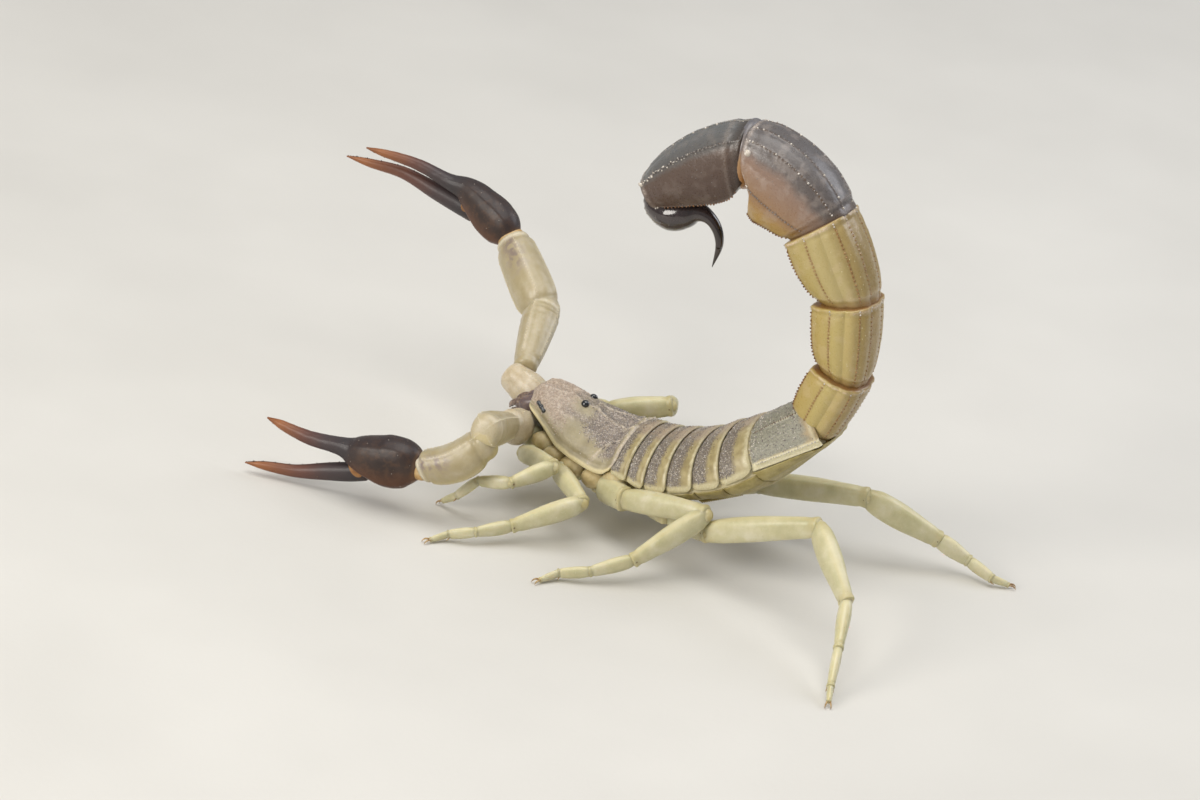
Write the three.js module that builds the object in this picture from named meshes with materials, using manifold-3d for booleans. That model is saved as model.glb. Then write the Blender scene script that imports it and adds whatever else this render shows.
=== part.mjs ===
// Desert scorpion, life size, as a still museum model standing on eight feet.
// Millimetres. +Z is up, the head faces -Y, the animal's left is +X, the feet rest on z = 0.
import * as THREE from "three";
import Module from "manifold-3d";

const wasm = await Module();
wasm.setup();
const { Manifold, Mesh } = wasm;

const GAP = 0.12; // clearance kept where two plates or two limb segments meet
const v3 = (a) => new THREE.Vector3(a[0], a[1], a[2]);
const mix = (a, b, t) => a + (b - a) * t;

// ---------------------------------------------------------------- colours
const finish = {
  carapace_shell: { color: 0x9a8f7c, roughness: 0.55 },
  tergite_shell: { color: 0x8d8670, roughness: 0.55 },
  pale_cuticle: { color: 0xd2cc96, roughness: 0.45 },
  tail_amber: { color: 0xa8954a, roughness: 0.45 },
  tail_dark: { color: 0x5b4c48, roughness: 0.4 },
  palp_cuticle: { color: 0xcfc391, roughness: 0.45 },
  chela_dark: { color: 0x3a2822, roughness: 0.3 },
  finger_brown: { color: 0x5a3420, roughness: 0.3 },
  sting_black: { color: 0x170e0c, roughness: 0.15 },
  jaw_mauve: { color: 0x4b363c, roughness: 0.35 },
  eye_black: { color: 0x060608, roughness: 0.08 },
};
const material = {};
for (const [name, f] of Object.entries(finish)) {
  material[name] = new THREE.MeshStandardMaterial({
    color: f.color,
    roughness: f.roughness,
    metalness: 0,
  });
  material[name].name = name;
}

// ---------------------------------------------------------------- lofting
// A ring is an oval cross-section: centre, side and up directions, half width, height above, depth below.
function ringPoint(ring, angle) {
  const c = Math.cos(angle);
  const s = Math.sin(angle);
  const square = 2 / (ring.square ?? 2);
  const x = Math.sign(c) * Math.abs(c) ** square * ring.half;
  const z = Math.sign(s) * Math.abs(s) ** square * (s > 0 ? ring.above : ring.below);
  return ring.centre.clone().addScaledVector(ring.side, x).addScaledVector(ring.up, z);
}

function loft(rings, sides) {
  const verts = [];
  const faces = [];
  const push = (p) => verts.push(p.x, p.y, p.z) / 3 - 1;
  for (const ring of rings)
    for (let i = 0; i < sides; i++) push(ringPoint(ring, (2 * Math.PI * (i + 0.5)) / sides));
  for (let r = 0; r + 1 < rings.length; r++)
    for (let i = 0; i < sides; i++) {
      const a = r * sides + i;
      const b = r * sides + ((i + 1) % sides);
      faces.push(a, b, b + sides, a, b + sides, a + sides);
    }
  const first = push(rings[0].centre);
  const last = push(rings.at(-1).centre);
  const end = (rings.length - 1) * sides;
  for (let i = 0; i < sides; i++) {
    const j = (i + 1) % sides;
    faces.push(first, j, i, last, end + i, end + j);
  }
  const make = (tri) =>
    new Manifold(
      new Mesh({ numProp: 3, vertProperties: new Float32Array(verts), triVerts: new Uint32Array(tri) }),
    );
  const solid = make(faces);
  if (solid.volume() > 0) return solid;
  const turned = [];
  for (let i = 0; i < faces.length; i += 3) turned.push(faces[i], faces[i + 2], faces[i + 1]);
  return make(turned);
}

// Only the largest body of a solid, so that a sliver left by a cut is dropped.
function largest(solid) {
  const bodies = solid.decompose();
  bodies.sort((a, b) => b.volume() - a.volume());
  return bodies[0];
}

// ---------------------------------------------------------------- limb segments
// A segment of a limb between two joints. girth lists [place along it, half width, half depth].
function segment(from, to, lift, girth, sides, grow = 0) {
  const a = v3(from);
  const b = v3(to);
  const along = b.clone().sub(a);
  const length = along.length();
  along.normalize();
  const side = new THREE.Vector3().crossVectors(along, v3(lift)).normalize();
  const up = new THREE.Vector3().crossVectors(side, along).normalize();
  const at = (distance, half, deep) => ({
    centre: a.clone().addScaledVector(along, distance),
    side,
    up,
    half: half + grow,
    above: deep + grow,
    below: deep + grow,
    square: 2.3,
  });
  const [, h0, d0] = girth[0];
  const [, h1, d1] = girth.at(-1);
  const rings = [at(-0.55 * Math.min(h0, d0) - grow, h0 * 0.55, d0 * 0.55)];
  for (const [t, h, d] of girth) rings.push(at(t * length, h, d));
  rings.push(at(length + 0.55 * Math.min(h1, d1) + grow, h1 * 0.55, d1 * 0.55));
  return loft(rings, sides);
}

// A bent tube through joints in turn. girth lists [half width, half depth] at every joint.
function bentTube(joints, lift, girth, sides, grow = 0) {
  const points = joints.map(v3);
  const rings = [];
  for (let i = 0; i < points.length; i++) {
    const back = i ? points[i].clone().sub(points[i - 1]).normalize() : null;
    const on = i + 1 < points.length ? points[i + 1].clone().sub(points[i]).normalize() : null;
    const along = (back && on ? back.clone().add(on) : (on ?? back)).clone().normalize();
    const side = new THREE.Vector3().crossVectors(along, v3(lift)).normalize();
    const up = new THREE.Vector3().crossVectors(side, along).normalize();
    const [half, deep] = girth[i];
    const stretch = back && on ? Math.min(1 / Math.max(back.dot(along), 0.5), 1.25) : 1;
    const ring = (k, shift) => ({
      centre: points[i].clone().addScaledVector(along, shift),
      side,
      up,
      half: (half + grow) * k,
      above: (deep + grow) * k * stretch,
      below: (deep + grow) * k * stretch,
      square: 2.3,
    });
    if (!back) rings.push(ring(0.5, -0.5 * deep - grow));
    rings.push(ring(1, 0));
    if (!on) rings.push(ring(0.5, 0.5 * deep + grow));
  }
  return loft(rings, sides);
}

// A horn-like tube along a smooth curve, tapering to a blunt tip.
function horn(points, radii, squash, sides, steps, grow = 0) {
  const curve = new THREE.CatmullRomCurve3(points.map(v3));
  const rings = [];
  const sideWays = new THREE.Vector3()
    .crossVectors(curve.getTangent(0), curve.getTangent(0.6).add(curve.getTangent(1)))
    .normalize();
  for (let i = 0; i <= steps; i++) {
    const t = i / steps;
    const along = curve.getTangent(t).normalize();
    const up = new THREE.Vector3().crossVectors(sideWays, along).normalize();
    const side = new THREE.Vector3().crossVectors(along, up).normalize();
    const k = t * (radii.length - 1);
    const n = Math.min(Math.floor(k), radii.length - 2);
    const r = mix(radii[n], radii[n + 1], k - n) + grow;
    rings.push({ centre: curve.getPoint(t), side, up, half: r * squash, above: r, below: r, square: 2 });
  }
  return loft(rings, sides);
}

// ---------------------------------------------------------------- trunk
// The trunk runs back from the head along its dorsal line, which dips and then climbs into the tail.
// place: y and z of the dorsal line, lean: its climb in degrees.
function trunkRing(y, z, lean, half, drop, below, square, sink = 0) {
  const a = THREE.MathUtils.degToRad(lean);
  const up = new THREE.Vector3(0, -Math.sin(a), Math.cos(a));
  const centre = new THREE.Vector3(0, y, z).addScaledVector(up, -drop);
  return {
    centre,
    side: new THREE.Vector3(1, 0, 0),
    up,
    half,
    above: drop - sink,
    below,
    square,
  };
}

const carapace = {
  // y, z of the dorsal line, half width, drop to the side margin
  stations: [
    [-0.7, 10.3, 2.3, 1.0],
    [-0.3, 10.7, 3.1, 2.0],
    [0.8, 10.95, 3.7, 2.8],
    [2.4, 11.05, 4.25, 3.4],
    [4.2, 10.95, 4.7, 3.7],
    [6.2, 10.65, 5.15, 3.6],
    [8.4, 10.55, 5.55, 3.5],
    [10.3, 10.65, 5.75, 3.5],
  ],
  rim: 0.55,
};
const trunk = new Map();
trunk.set(
  "carapace",
  loft(
    carapace.stations.map(([y, z, half, drop]) => trunkRing(y, z, 0, half, drop, carapace.rim, 2.2)),
    20,
  ),
);

// Seven plated rings of the mesosoma: dorsal line, lean, half width, drop to the side rim, belly depth below it.
const mesosoma = [
  [10.55, 10.75, 0, 5.5, 3.7, 1.3],
  [11.9, 10.85, 2, 5.6, 3.8, 1.5],
  [13.6, 11.0, 6, 5.8, 4.0, 1.8],
  [15.6, 11.5, 13, 6.0, 4.2, 2.1],
  [17.9, 12.45, 20, 6.1, 4.2, 2.3],
  [20.1, 13.65, 27, 6.0, 4.1, 2.5],
  [22.6, 15.35, 35, 5.4, 3.8, 2.5],
  [26.7, 18.75, 44, 3.2, 2.6, 3.0],
];
function mesosomaRing(k, grow = 0) {
  const a = mesosoma[k];
  const b = mesosoma[k + 1];
  const rings = [];
  for (const t of [0, 0.3, 0.75, 1]) {
    const s = a.map((n, i) => mix(n, b[i], t));
    const ring = trunkRing(s[0], s[1], s[2], s[3], s[4], s[5], 2.25, t === 0 ? 0.25 : 0);
    if (t === 0) ring.half -= 0.2;
    const lean = THREE.MathUtils.degToRad(s[2]);
    const pull = t === 0 ? GAP / 2 - grow : t === 1 ? grow - GAP / 2 : 0;
    ring.centre.add(new THREE.Vector3(0, Math.cos(lean), Math.sin(lean)).multiplyScalar(pull));
    ring.half += grow;
    ring.above += grow;
    ring.below += grow;
    rings.push(ring);
  }
  return loft(rings, 20);
}
for (let k = 0; k < 7; k++) trunk.set("mesosoma_" + (k + 1), mesosomaRing(k));

// Underside of the prosoma: the coxae and the breast plate, under the carapace and the first belly rings.
const coxae = [
  // y, half width, top, bottom
  [-1.5, 2.5, 8.1, 6.0],
  [-0.4, 3.2, 7.9, 5.2],
  [2.0, 3.7, 7.2, 4.6],
  [5.0, 4.2, 6.6, 4.1],
  [9.0, 4.6, 6.0, 3.8],
  [10.4, 4.6, 5.2, 3.7],
  [13.0, 4.3, 4.9, 3.6],
  [16.2, 3.4, 4.6, 3.5],
];
const breast = (grow) => loft(
  coxae.map(([y, half, top, bottom]) => ({
    centre: new THREE.Vector3(0, y, (top + bottom) / 2 + 0.15),
    side: new THREE.Vector3(1, 0, 0),
    up: new THREE.Vector3(0, 0, 1),
    half: half - 0.5 + grow,
    above: (top - bottom) / 2 + grow,
    below: (top - bottom) / 2 - 0.25 + grow,
    square: 3,
  })),
  12,
);
// Each coxa runs from beside the breast plate out to its hip: inner end, hip, half width, half depth.
const coxaRows = [
  [[0.9, 3.4, 4.9], [3.5, 2.4, 5.3], 0.95, 0.85],
  [[0.8, 6.4, 4.5], [4.1, 5.6, 4.9], 1.15, 0.9],
  [[0.9, 8.6, 4.2], [4.5, 9.2, 4.7], 1.2, 0.9],
  [[1.2, 10.2, 4.0], [4.5, 16.3, 4.2], 1.35, 0.85],
];
const coxaBars = (grow) =>
  [1, -1].flatMap((s) =>
    coxaRows.map(([inner, hip, half, deep]) =>
      segment(
        [inner[0] * s, inner[1], inner[2]],
        [mix(inner[0], hip[0], 0.8) * s, mix(inner[1], hip[1], 0.8), mix(inner[2], hip[2], 0.8)],
        [0, 0, 1],
        [
          [0, half * 0.7, deep * 0.8],
          [1, half, deep],
        ],
        6,
        grow,
      ),
    ),
  );
const coxaeSolid = Manifold.union([breast(0), ...coxaBars(0)]);
const coxaeRoom = Manifold.union([breast(GAP), ...coxaBars(GAP)]);

// ---------------------------------------------------------------- tail
// Joints of the tail in the midline: y, z.
const tailJoints = [
  [28.3, 16.7],
  [30.3, 22.6],
  [29.5, 30.2],
  [25.4, 37.0],
  [16.5, 41.7],
  [7.6, 34.4],
];
// Per tail segment: half width and half depth at the narrow base, the middle and the flared rim.
const tailGirth = [
  [2.6, 2.5, 3.0, 2.9, 3.35, 3.05],
  [2.7, 2.6, 3.2, 3.1, 3.6, 3.55],
  [2.9, 2.9, 3.4, 3.6, 3.75, 3.95],
  [3.1, 3.4, 3.6, 4.2, 3.65, 4.1],
  [2.9, 3.2, 3.1, 3.5, 2.0, 1.9],
];
const tailAngle = (k) =>
  Math.atan2(tailJoints[k + 1][1] - tailJoints[k][1], tailJoints[k + 1][0] - tailJoints[k][0]);
function tailSegment(k, grow = 0) {
  const here = tailAngle(k);
  const before = k === 0 ? THREE.MathUtils.degToRad(46) : tailAngle(k - 1);
  const after = k === 4 ? here : tailAngle(k + 1);
  const wrap = (x) => Math.atan2(Math.sin(x), Math.cos(x));
  const baseTurn = here + wrap(before - here) / 2;
  const rimTurn = here + wrap(after - here) / 2;
  const [w0, d0, w1, d1, w2, d2] = tailGirth[k];
  const rings = [];
  for (const [t, w, d] of [
    [0, w0, d0],
    [0.16, mix(w0, w1, 0.6), mix(d0, d1, 0.6)],
    [0.5, w1, d1],
    [0.85, w2 * (k === 4 ? 1.3 : 0.98), d2 * (k === 4 ? 1.35 : 0.98)],
    [1, w2, d2],
  ]) {
    const blend = t < 0.5 ? mix(baseTurn, here, t * 2) : mix(here, rimTurn, t * 2 - 1);
    const stretch = Math.min(1 / Math.cos(blend - here), 1.06);
    const up = new THREE.Vector3(0, Math.sin(blend), -Math.cos(blend)); // outer, ventral side of the tail
    const centre = new THREE.Vector3(
      0,
      mix(tailJoints[k][0], tailJoints[k + 1][0], t),
      mix(tailJoints[k][1], tailJoints[k + 1][1], t),
    );
    const pull = t === 0 ? GAP - grow : t === 1 ? grow - GAP : 0;
    centre.add(new THREE.Vector3(0, Math.cos(here), Math.sin(here)).multiplyScalar(pull));
    rings.push({
      centre,
      side: new THREE.Vector3(1, 0, 0),
      up,
      half: w + grow,
      above: d * stretch + grow,
      below: d * stretch + grow,
      square: 2.7,
    });
  }
  return loft(rings, 16);
}
for (let k = 0; k < 5; k++) trunk.set("metasoma_" + (k + 1), tailSegment(k));
trunk.set("metasoma_1", largest(trunk.get("metasoma_1").subtract(mesosomaRing(6, GAP))));

// Telson: a bulb folded back under the last tail segment, and its hooked sting.
const wholeTelson = horn(
  [
    [0, 7.5, 33.4],
    [0, 8.3, 32.9],
    [0, 9.7, 32.7],
    [0, 11.3, 33.4],
    [0, 12.7, 34.2],
    [0, 13.7, 34.5],
    [0, 14.6, 33.9],
    [0, 15.2, 32.6],
    [0, 15.4, 31.0],
    [0, 14.9, 28.9],
  ],
  [0.9, 1.45, 1.85, 1.7, 1.0, 0.72, 0.6, 0.48, 0.36, 0.14],
  1.12,
  9,
  12,
);
const telson = largest(wholeTelson.subtract(tailSegment(4, GAP)));

// ---------------------------------------------------------------- head parts
// Chelicerae: a stout hand and a hooked finger each side, ahead of the carapace.
function chelicera(x) {
  const hand = segment([x, -0.9, 9.2], [x * 1.05, -2.6, 8.9], [0, 0, 1], [[0, 0.62, 0.85], [0.6, 0.68, 0.95], [1, 0.55, 0.7]], 7);
  const fang = horn([[x * 1.05, -2.5, 9.2], [x * 0.95, -3.3, 9.0], [x * 0.7, -3.9, 8.5]], [0.42, 0.22], 1, 6, 2);
  const lower = horn([[x * 1.1, -2.5, 8.5], [x * 1.05, -3.2, 8.1], [x * 0.8, -3.7, 7.9]], [0.36, 0.2], 1, 6, 2);
  return Manifold.union([hand, fang, lower]);
}
// Round eye, half sunk in its socket.
function eye([x, y, z], radius, grow = 0) {
  return Manifold.sphere(radius + grow, 8).translate([x, y, z]);
}
const medianEye = (s) => [s * 0.62, 4.3, 10.95];
const sideEyes = (s) => [s * 3.05, 0.55, 9.9];
const eyeRadius = 0.42;
const sideEyeRadius = 0.34;

// Pectines: a short comb either side, hanging under the belly behind the coxae.
function pecten(s) {
  const shaft = segment([s * 1.2, 17.1, 3.9], [s * 6.2, 19.8, 3.6], [0, 0, 1], [[0, 0.7, 0.28], [0.5, 0.8, 0.28], [1, 0.4, 0.25]], 8);
  return shaft;
}

// ---------------------------------------------------------------- limbs
// Joints of every limb in place. For s = 1 the animal's left, as it stands.
const pedipalps = {
  left: {
    hip: [2.9, -0.7, 6.9],
    trochanter: [5.0, -1.2, 8.0],
    elbow: [13.2, 0.1, 11.1],
    wrist: [14.5, -5.8, 5.2],
    hinge: [15.1, -12.2, 3.3],
    upperBend: [15.6, -17.8, 5.9],
    upperTip: [15.8, -22.4, 5.3],
    lowerBend: [16.4, -18.2, 2.1],
    lowerTip: [18.0, -23.3, 1.3],
    lift: [0, 0, 1],
  },
  right: {
    hip: [-2.9, -1.3, 7.3],
    trochanter: [-4.3, -4.2, 9.2],
    elbow: [-11.6, -6.8, 12.8],
    wrist: [-15.8, -13.1, 17.2],
    hinge: [-17.2, -19.0, 18.9],
    upperBend: [-16.2, -25.2, 21.8],
    upperTip: [-15.0, -30.4, 22.3],
    lowerBend: [-16.6, -26.6, 20.2],
    lowerTip: [-15.2, -32.6, 20.6],
    lift: [0, 0.3, 1],
  },
};
// Hip, trochanter end, knee, patella end, tibia end, basitarsus end, claw tip.
const legs = {
  leg1_left: [[3.5, 2.4, 5.3], [4.8, 1.0, 5.3], [8.0, 5.2, 6.7], [11.3, 2.4, 5.2], [11.5, -1.0, 4.3], [11.2, -3.1, 1.8], [10.8, -5.0, 0.35]],
  leg2_left: [[4.1, 5.6, 4.9], [5.4, 4.6, 5.2], [9.5, 9.5, 4.8], [13.5, 4.2, 1.95], [16.2, 1.6, 1.4], [17.4, -0.7, 0.8], [19.2, -2.1, 0.35]],
  leg3_left: [[4.5, 9.2, 4.7], [6.3, 12.5, 5.1], [7.8, 21.7, 7.2], [13.0, 17.1, 2.65], [15.7, 13.9, 1.3], [17.2, 11.3, 0.8], [19.4, 10.0, 0.35]],
  leg4_left: [[4.7, 16.9, 4.2], [7.2, 22.0, 5.2], [7.8, 33.3, 10.0], [13.0, 39.2, 6.2], [17.2, 40.7, 3.45], [20.6, 41.8, 1.2], [22.6, 42.6, 0.35]],
  leg1_right: [[-3.5, 2.4, 5.3], [-5.0, 1.5, 4.9], [-9.4, 2.8, 5.9], [-12.6, -0.6, 3.9], [-14.3, -3.4, 2.3], [-15.4, -5.8, 1.0], [-16.4, -7.7, 0.35]],
  leg2_right: [[-4.1, 5.6, 4.9], [-5.6, 4.6, 6.4], [-8.4, 10.0, 9.1], [-14.3, 7.4, 6.0], [-17.9, 5.4, 3.8], [-20.4, 4.0, 1.7], [-22.2, 2.8, 0.35]],
  leg3_right: [[-4.5, 9.2, 4.7], [-6.6, 11.9, 5.4], [-13.0, 17.8, 7.4], [-19.0, 15.0, 3.4], [-22.0, 12.9, 1.7], [-23.6, 11.2, 0.8], [-25.3, 9.7, 0.35]],
  leg4_right: [[-4.7, 16.9, 4.2], [-7.7, 20.9, 4.5], [-8.4, 32.1, 6.6], [-11.6, 39.1, 3.2], [-12.3, 42.4, 1.7], [-12.0, 45.2, 0.85], [-12.9, 47.2, 0.35]],
};
// Half depth of each leg in its parts: trochanter, femur, patella, tibia, basitarsus, tarsus.
const legGirth = {
  1: [0.75, 0.85, 0.78, 0.6, 0.5, 0.42],
  2: [0.85, 0.92, 0.92, 0.62, 0.52, 0.42],
  3: [1.0, 1.08, 1.0, 0.66, 0.56, 0.45],
  4: [1.1, 1.12, 1.18, 0.8, 0.62, 0.46],
};

const solids = new Map();
const paint = new Map();
function add(name, solid, colour) {
  solids.set(name, solid);
  paint.set(name, colour);
}

// Trunk plates: cuts keep a clear gap between neighbours.
const eyeSockets = [1, -1].flatMap((s) => [
  eye(medianEye(s), eyeRadius, 0.06),
  eye(sideEyes(s), sideEyeRadius, 0.06),
]);
const tubercle = Manifold.sphere(1, 8).scale([1.0, 1.5, 0.75]).translate([0, 4.4, 10.75]);
add("carapace", Manifold.union([trunk.get("carapace"), tubercle]).subtract(Manifold.union(eyeSockets)), "carapace_shell");
for (const [s, side] of [[1, "left"], [-1, "right"]]) {
  add("median_eye_" + side, eye(medianEye(s), eyeRadius), "eye_black");
  add("side_eyes_" + side, eye(sideEyes(s), sideEyeRadius), "eye_black");
}
for (let k = 1; k <= 7; k++) add("mesosoma_" + k, trunk.get("mesosoma_" + k), "tergite_shell");
for (let k = 1; k <= 5; k++) add("metasoma_" + k, trunk.get("metasoma_" + k), k < 4 ? "tail_amber" : "tail_dark");
add("telson", telson, "sting_black");
add("coxae", coxaeSolid, "pale_cuticle");
for (const [s, side] of [[1, "left"], [-1, "right"]]) {
  add("chelicera_" + side, chelicera(s * 0.85), "jaw_mauve");
  add("pecten_" + side, pecten(s), "pale_cuticle");
}

for (const [side, p] of Object.entries(pedipalps)) {
  const lift = p.lift;
  const bits = {
    trochanter: (g) => segment(p.hip, p.trochanter, lift, [[0, 1.1, 1.2], [0.5, 1.25, 1.4], [1, 1.15, 1.3]], 10, g),
    femur: (g) => segment(p.trochanter, p.elbow, lift, [[0, 1.1, 1.1], [0.35, 1.35, 1.5], [0.8, 1.5, 1.65], [1, 1.3, 1.5]], 10, g),
    patella: (g) => segment(p.elbow, p.wrist, lift, [[0, 1.3, 1.4], [0.3, 1.65, 1.85], [0.7, 1.6, 1.75], [1, 1.05, 1.1]], 10, g),
    hand: (g) =>
      Manifold.union([
        segment(p.wrist, p.hinge, lift, [[0, 0.9, 1.1], [0.25, 1.9, 2.3], [0.6, 2.2, 2.65], [0.9, 1.6, 1.9]], 12, g),
        horn(
          [mixPoint(p.wrist, p.hinge, 0.75, 0.7), mixPoint(p.hinge, p.upperBend, 0.35, 0.6), p.upperBend, p.upperTip],
          [1.3, 1.05, 0.75, 0.5, 0.22],
          0.85,
          7,
          6,
          g,
        ),
      ]),
    movable_finger: (g) =>
      horn(
        [mixPoint(p.hinge, p.lowerBend, 0.02, -0.6), mixPoint(p.hinge, p.lowerBend, 0.45, -0.3), p.lowerBend, p.lowerTip],
        [1.0, 0.95, 0.7, 0.48, 0.22],
        0.85,
        7,
        7,
        g,
      ),
  };
  let before = null;
  for (const [bit, make] of Object.entries(bits)) {
    let solid = make(0);
    solid = largest(solid.subtract(before ? before(GAP) : coxaeRoom));
    add("pedipalp_" + bit + "_" + side, solid, /hand|finger/.test(bit) ? "chela_dark" : "palp_cuticle");
    before = make;
  }
}
// A point between two, raised by some millimetres.
function mixPoint(a, b, t, raise) {
  return [mix(a[0], b[0], t), mix(a[1], b[1], t), mix(a[2], b[2], t) + raise];
}

const lastHips = [];
const floorCut = (solid) => solid.trimByPlane([0, 0, 1], 0);
for (const [name, j] of Object.entries(legs)) {
  const [leg, side] = name.split("_");
  const g = legGirth[leg[3]];
  const lift = [0, 0, 1];
  const oval = (a, b, i, swell, taper, grow) =>
    segment(
      a,
      b,
      lift,
      [
        [0, g[i] * 0.72, g[i] * 0.85],
        [0.3, g[i] * 0.8 * swell, g[i] * swell],
        [1, g[i] * 0.7 * taper, g[i] * 0.85 * taper],
      ],
      8,
      grow,
    );
  const femur = (grow) =>
    Manifold.union([oval(j[0], j[1], 0, 1.05, 1.0, grow), oval(j[1], j[2], 1, 1.1, 0.95, grow)]);
  const patella = (grow) => oval(j[2], j[3], 2, 1.12, 0.78, grow);
  const tip = [j[6][0], j[6][1], g[5] * 0.75 - 0.1];
  const swell = mixPoint(j[3], j[4], 0.35, 0);
  const foot = () =>
    floorCut(
      bentTube(
        [j[3], swell, j[4], j[5], tip],
        lift,
        [
          [g[3] * 0.75, g[3] * 0.85],
          [g[3] * 0.85, g[3]],
          [g[4] * 0.85, g[4]],
          [g[5] * 0.85, g[5] * 0.95],
          [g[5] * 0.6, g[5] * 0.75],
        ],
        7,
      ),
    );
  if (leg === "leg4") lastHips.push(femur(GAP));
  add(name + "_femur", largest(femur(0).subtract(coxaeRoom)), "pale_cuticle");
  add(name + "_patella", largest(patella(0).subtract(femur(GAP))), "pale_cuticle");
  add(name + "_tarsus", largest(foot().subtract(patella(GAP))), "pale_cuticle");
}

// The coxae make room for the carapace rim, the chelicerae for both, and the pectines for the last hips.
const carapaceRoom = loft(
  carapace.stations.map(([y, z, half, drop]) => trunkRing(y, z, 0, half + GAP, drop, carapace.rim + GAP, 2.2)),
  20,
);
solids.set("coxae", largest(coxaeSolid.subtract(carapaceRoom)));
for (const [s, side] of [[1, "left"], [-1, "right"]]) {
  const jaw = chelicera(s * 0.85).subtract(carapaceRoom.translate([0, -GAP, 0]));
  solids.set("chelicera_" + side, largest(jaw.trimByPlane([0, 0, 1], coxae[0][2] + GAP)));
  solids.set("pecten_" + side, largest(pecten(s).subtract(Manifold.union([...lastHips, coxaeRoom]))));
}

// The middle of the model's box on the floor, which becomes the origin.
const middle = { x: -1.35, y: 7.39 };
const scorpion = new THREE.Group();
scorpion.name = "desert_scorpion";
for (const [name, solid] of solids) {
  const m = solid.simplify(solid.numTri() > 800 ? 0.1 : solid.numTri() > 150 ? 0.05 : 0.01).getMesh();
  const xyz = new Float32Array((m.vertProperties.length / m.numProp) * 3);
  for (let i = 0; i < xyz.length / 3; i++)
    for (let c = 0; c < 3; c++) xyz[3 * i + c] = m.vertProperties[i * m.numProp + c];
  const geometry = new THREE.BufferGeometry();
  geometry.setAttribute("position", new THREE.BufferAttribute(xyz, 3));
  geometry.setIndex([...m.triVerts]);
  geometry.translate(-middle.x, -middle.y, 0);
  const flat = geometry.toNonIndexed();
  flat.computeVertexNormals();
  const mesh = new THREE.Mesh(flat, material[paint.get(name)]);
  mesh.name = name;
  scorpion.add(mesh);
}

export default scorpion;
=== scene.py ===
"""Desert scorpion: the finished still model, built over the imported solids.

Lengths inside are millimetres."""
import math
import random

import bmesh
import bpy
from mathutils import Matrix, Vector, noise


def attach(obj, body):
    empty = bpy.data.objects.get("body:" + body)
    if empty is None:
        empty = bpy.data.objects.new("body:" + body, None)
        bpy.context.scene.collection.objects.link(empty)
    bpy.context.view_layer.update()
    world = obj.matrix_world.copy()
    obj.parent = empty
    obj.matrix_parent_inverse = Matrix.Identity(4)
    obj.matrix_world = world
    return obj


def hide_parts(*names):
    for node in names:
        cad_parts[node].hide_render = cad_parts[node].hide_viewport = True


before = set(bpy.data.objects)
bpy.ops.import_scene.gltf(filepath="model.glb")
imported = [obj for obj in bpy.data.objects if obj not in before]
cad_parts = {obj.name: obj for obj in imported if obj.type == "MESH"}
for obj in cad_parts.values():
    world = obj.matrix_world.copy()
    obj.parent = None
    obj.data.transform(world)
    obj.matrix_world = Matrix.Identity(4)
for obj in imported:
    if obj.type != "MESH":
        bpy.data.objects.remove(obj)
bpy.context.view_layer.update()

MM = 0.001
MIDDLE = Vector((-1.35, 7.39, 0.0))  # the part's origin in drawing millimetres
UP = Vector((0.0, 0.0, 1.0))
QUARTER = math.pi / 2
TAU = 2.0 * math.pi
SIDES = ((1, "left"), (-1, "right"))
MARKS = ("along", "height", "dark", "pale")  # values the finishes read at each point
PLAIN = (0.5, 0.0, 0.0, 0.0)
BUNCH = 120  # small bodies built together, to keep the loops short
SHIELD_WALL = 0.34
BACK_WALL = 0.16


# ------------------------------------------------------------------ small helps
def mix(a, b, t):
    return a + (b - a) * t


def step(low, high, x):
    t = min(max((x - low) / (high - low), 0.0), 1.0)
    return t * t * (3.0 - 2.0 * t)


def hill(x, width):
    return math.exp(-((x / width) ** 2))


def power(x, by):
    """x raised to a power, with its sign kept."""
    return math.copysign(abs(x) ** by, x)


def apart(u, place):
    """How far round from place the turn u is, from -0.5 to 0.5."""
    return (u - place + 0.5) % 1.0 - 0.5


def read(table, x):
    """Smooth values at x through the rows of a table, whose first column is the key."""
    x = min(max(x, table[0][0]), table[-1][0])
    k = 0
    while k < len(table) - 2 and x > table[k + 1][0]:
        k += 1
    a = table[k]
    b = table[k + 1]
    before = table[max(k - 1, 0)]
    after = table[min(k + 2, len(table) - 1)]
    h = b[0] - a[0]
    s = (x - a[0]) / h
    values = []
    for i in range(1, len(a)):
        m0 = (b[i] - before[i]) / (b[0] - before[0]) * h
        m1 = (after[i] - a[i]) / (after[0] - a[0]) * h
        s2 = s * s
        s3 = s2 * s
        values.append(
            (2 * s3 - 3 * s2 + 1) * a[i]
            + (s3 - 2 * s2 + s) * m0
            + (3 * s2 - 2 * s3) * b[i]
            + (s3 - s2) * m1
        )
    return values


def to_line(x, y, line):
    """Distance from a point to a bent line, and how far along it the nearest place is."""
    best = (1e9, 0.0)
    for n in range(len(line) - 1):
        ax, ay = line[n]
        bx, by = line[n + 1]
        dx = bx - ax
        dy = by - ay
        s = min(max(((x - ax) * dx + (y - ay) * dy) / (dx * dx + dy * dy), 0.0), 1.0)
        gap = math.hypot(x - ax - s * dx, y - ay - s * dy)
        if gap < best[0]:
            best = (gap, (n + s) / (len(line) - 1))
    return best


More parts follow.
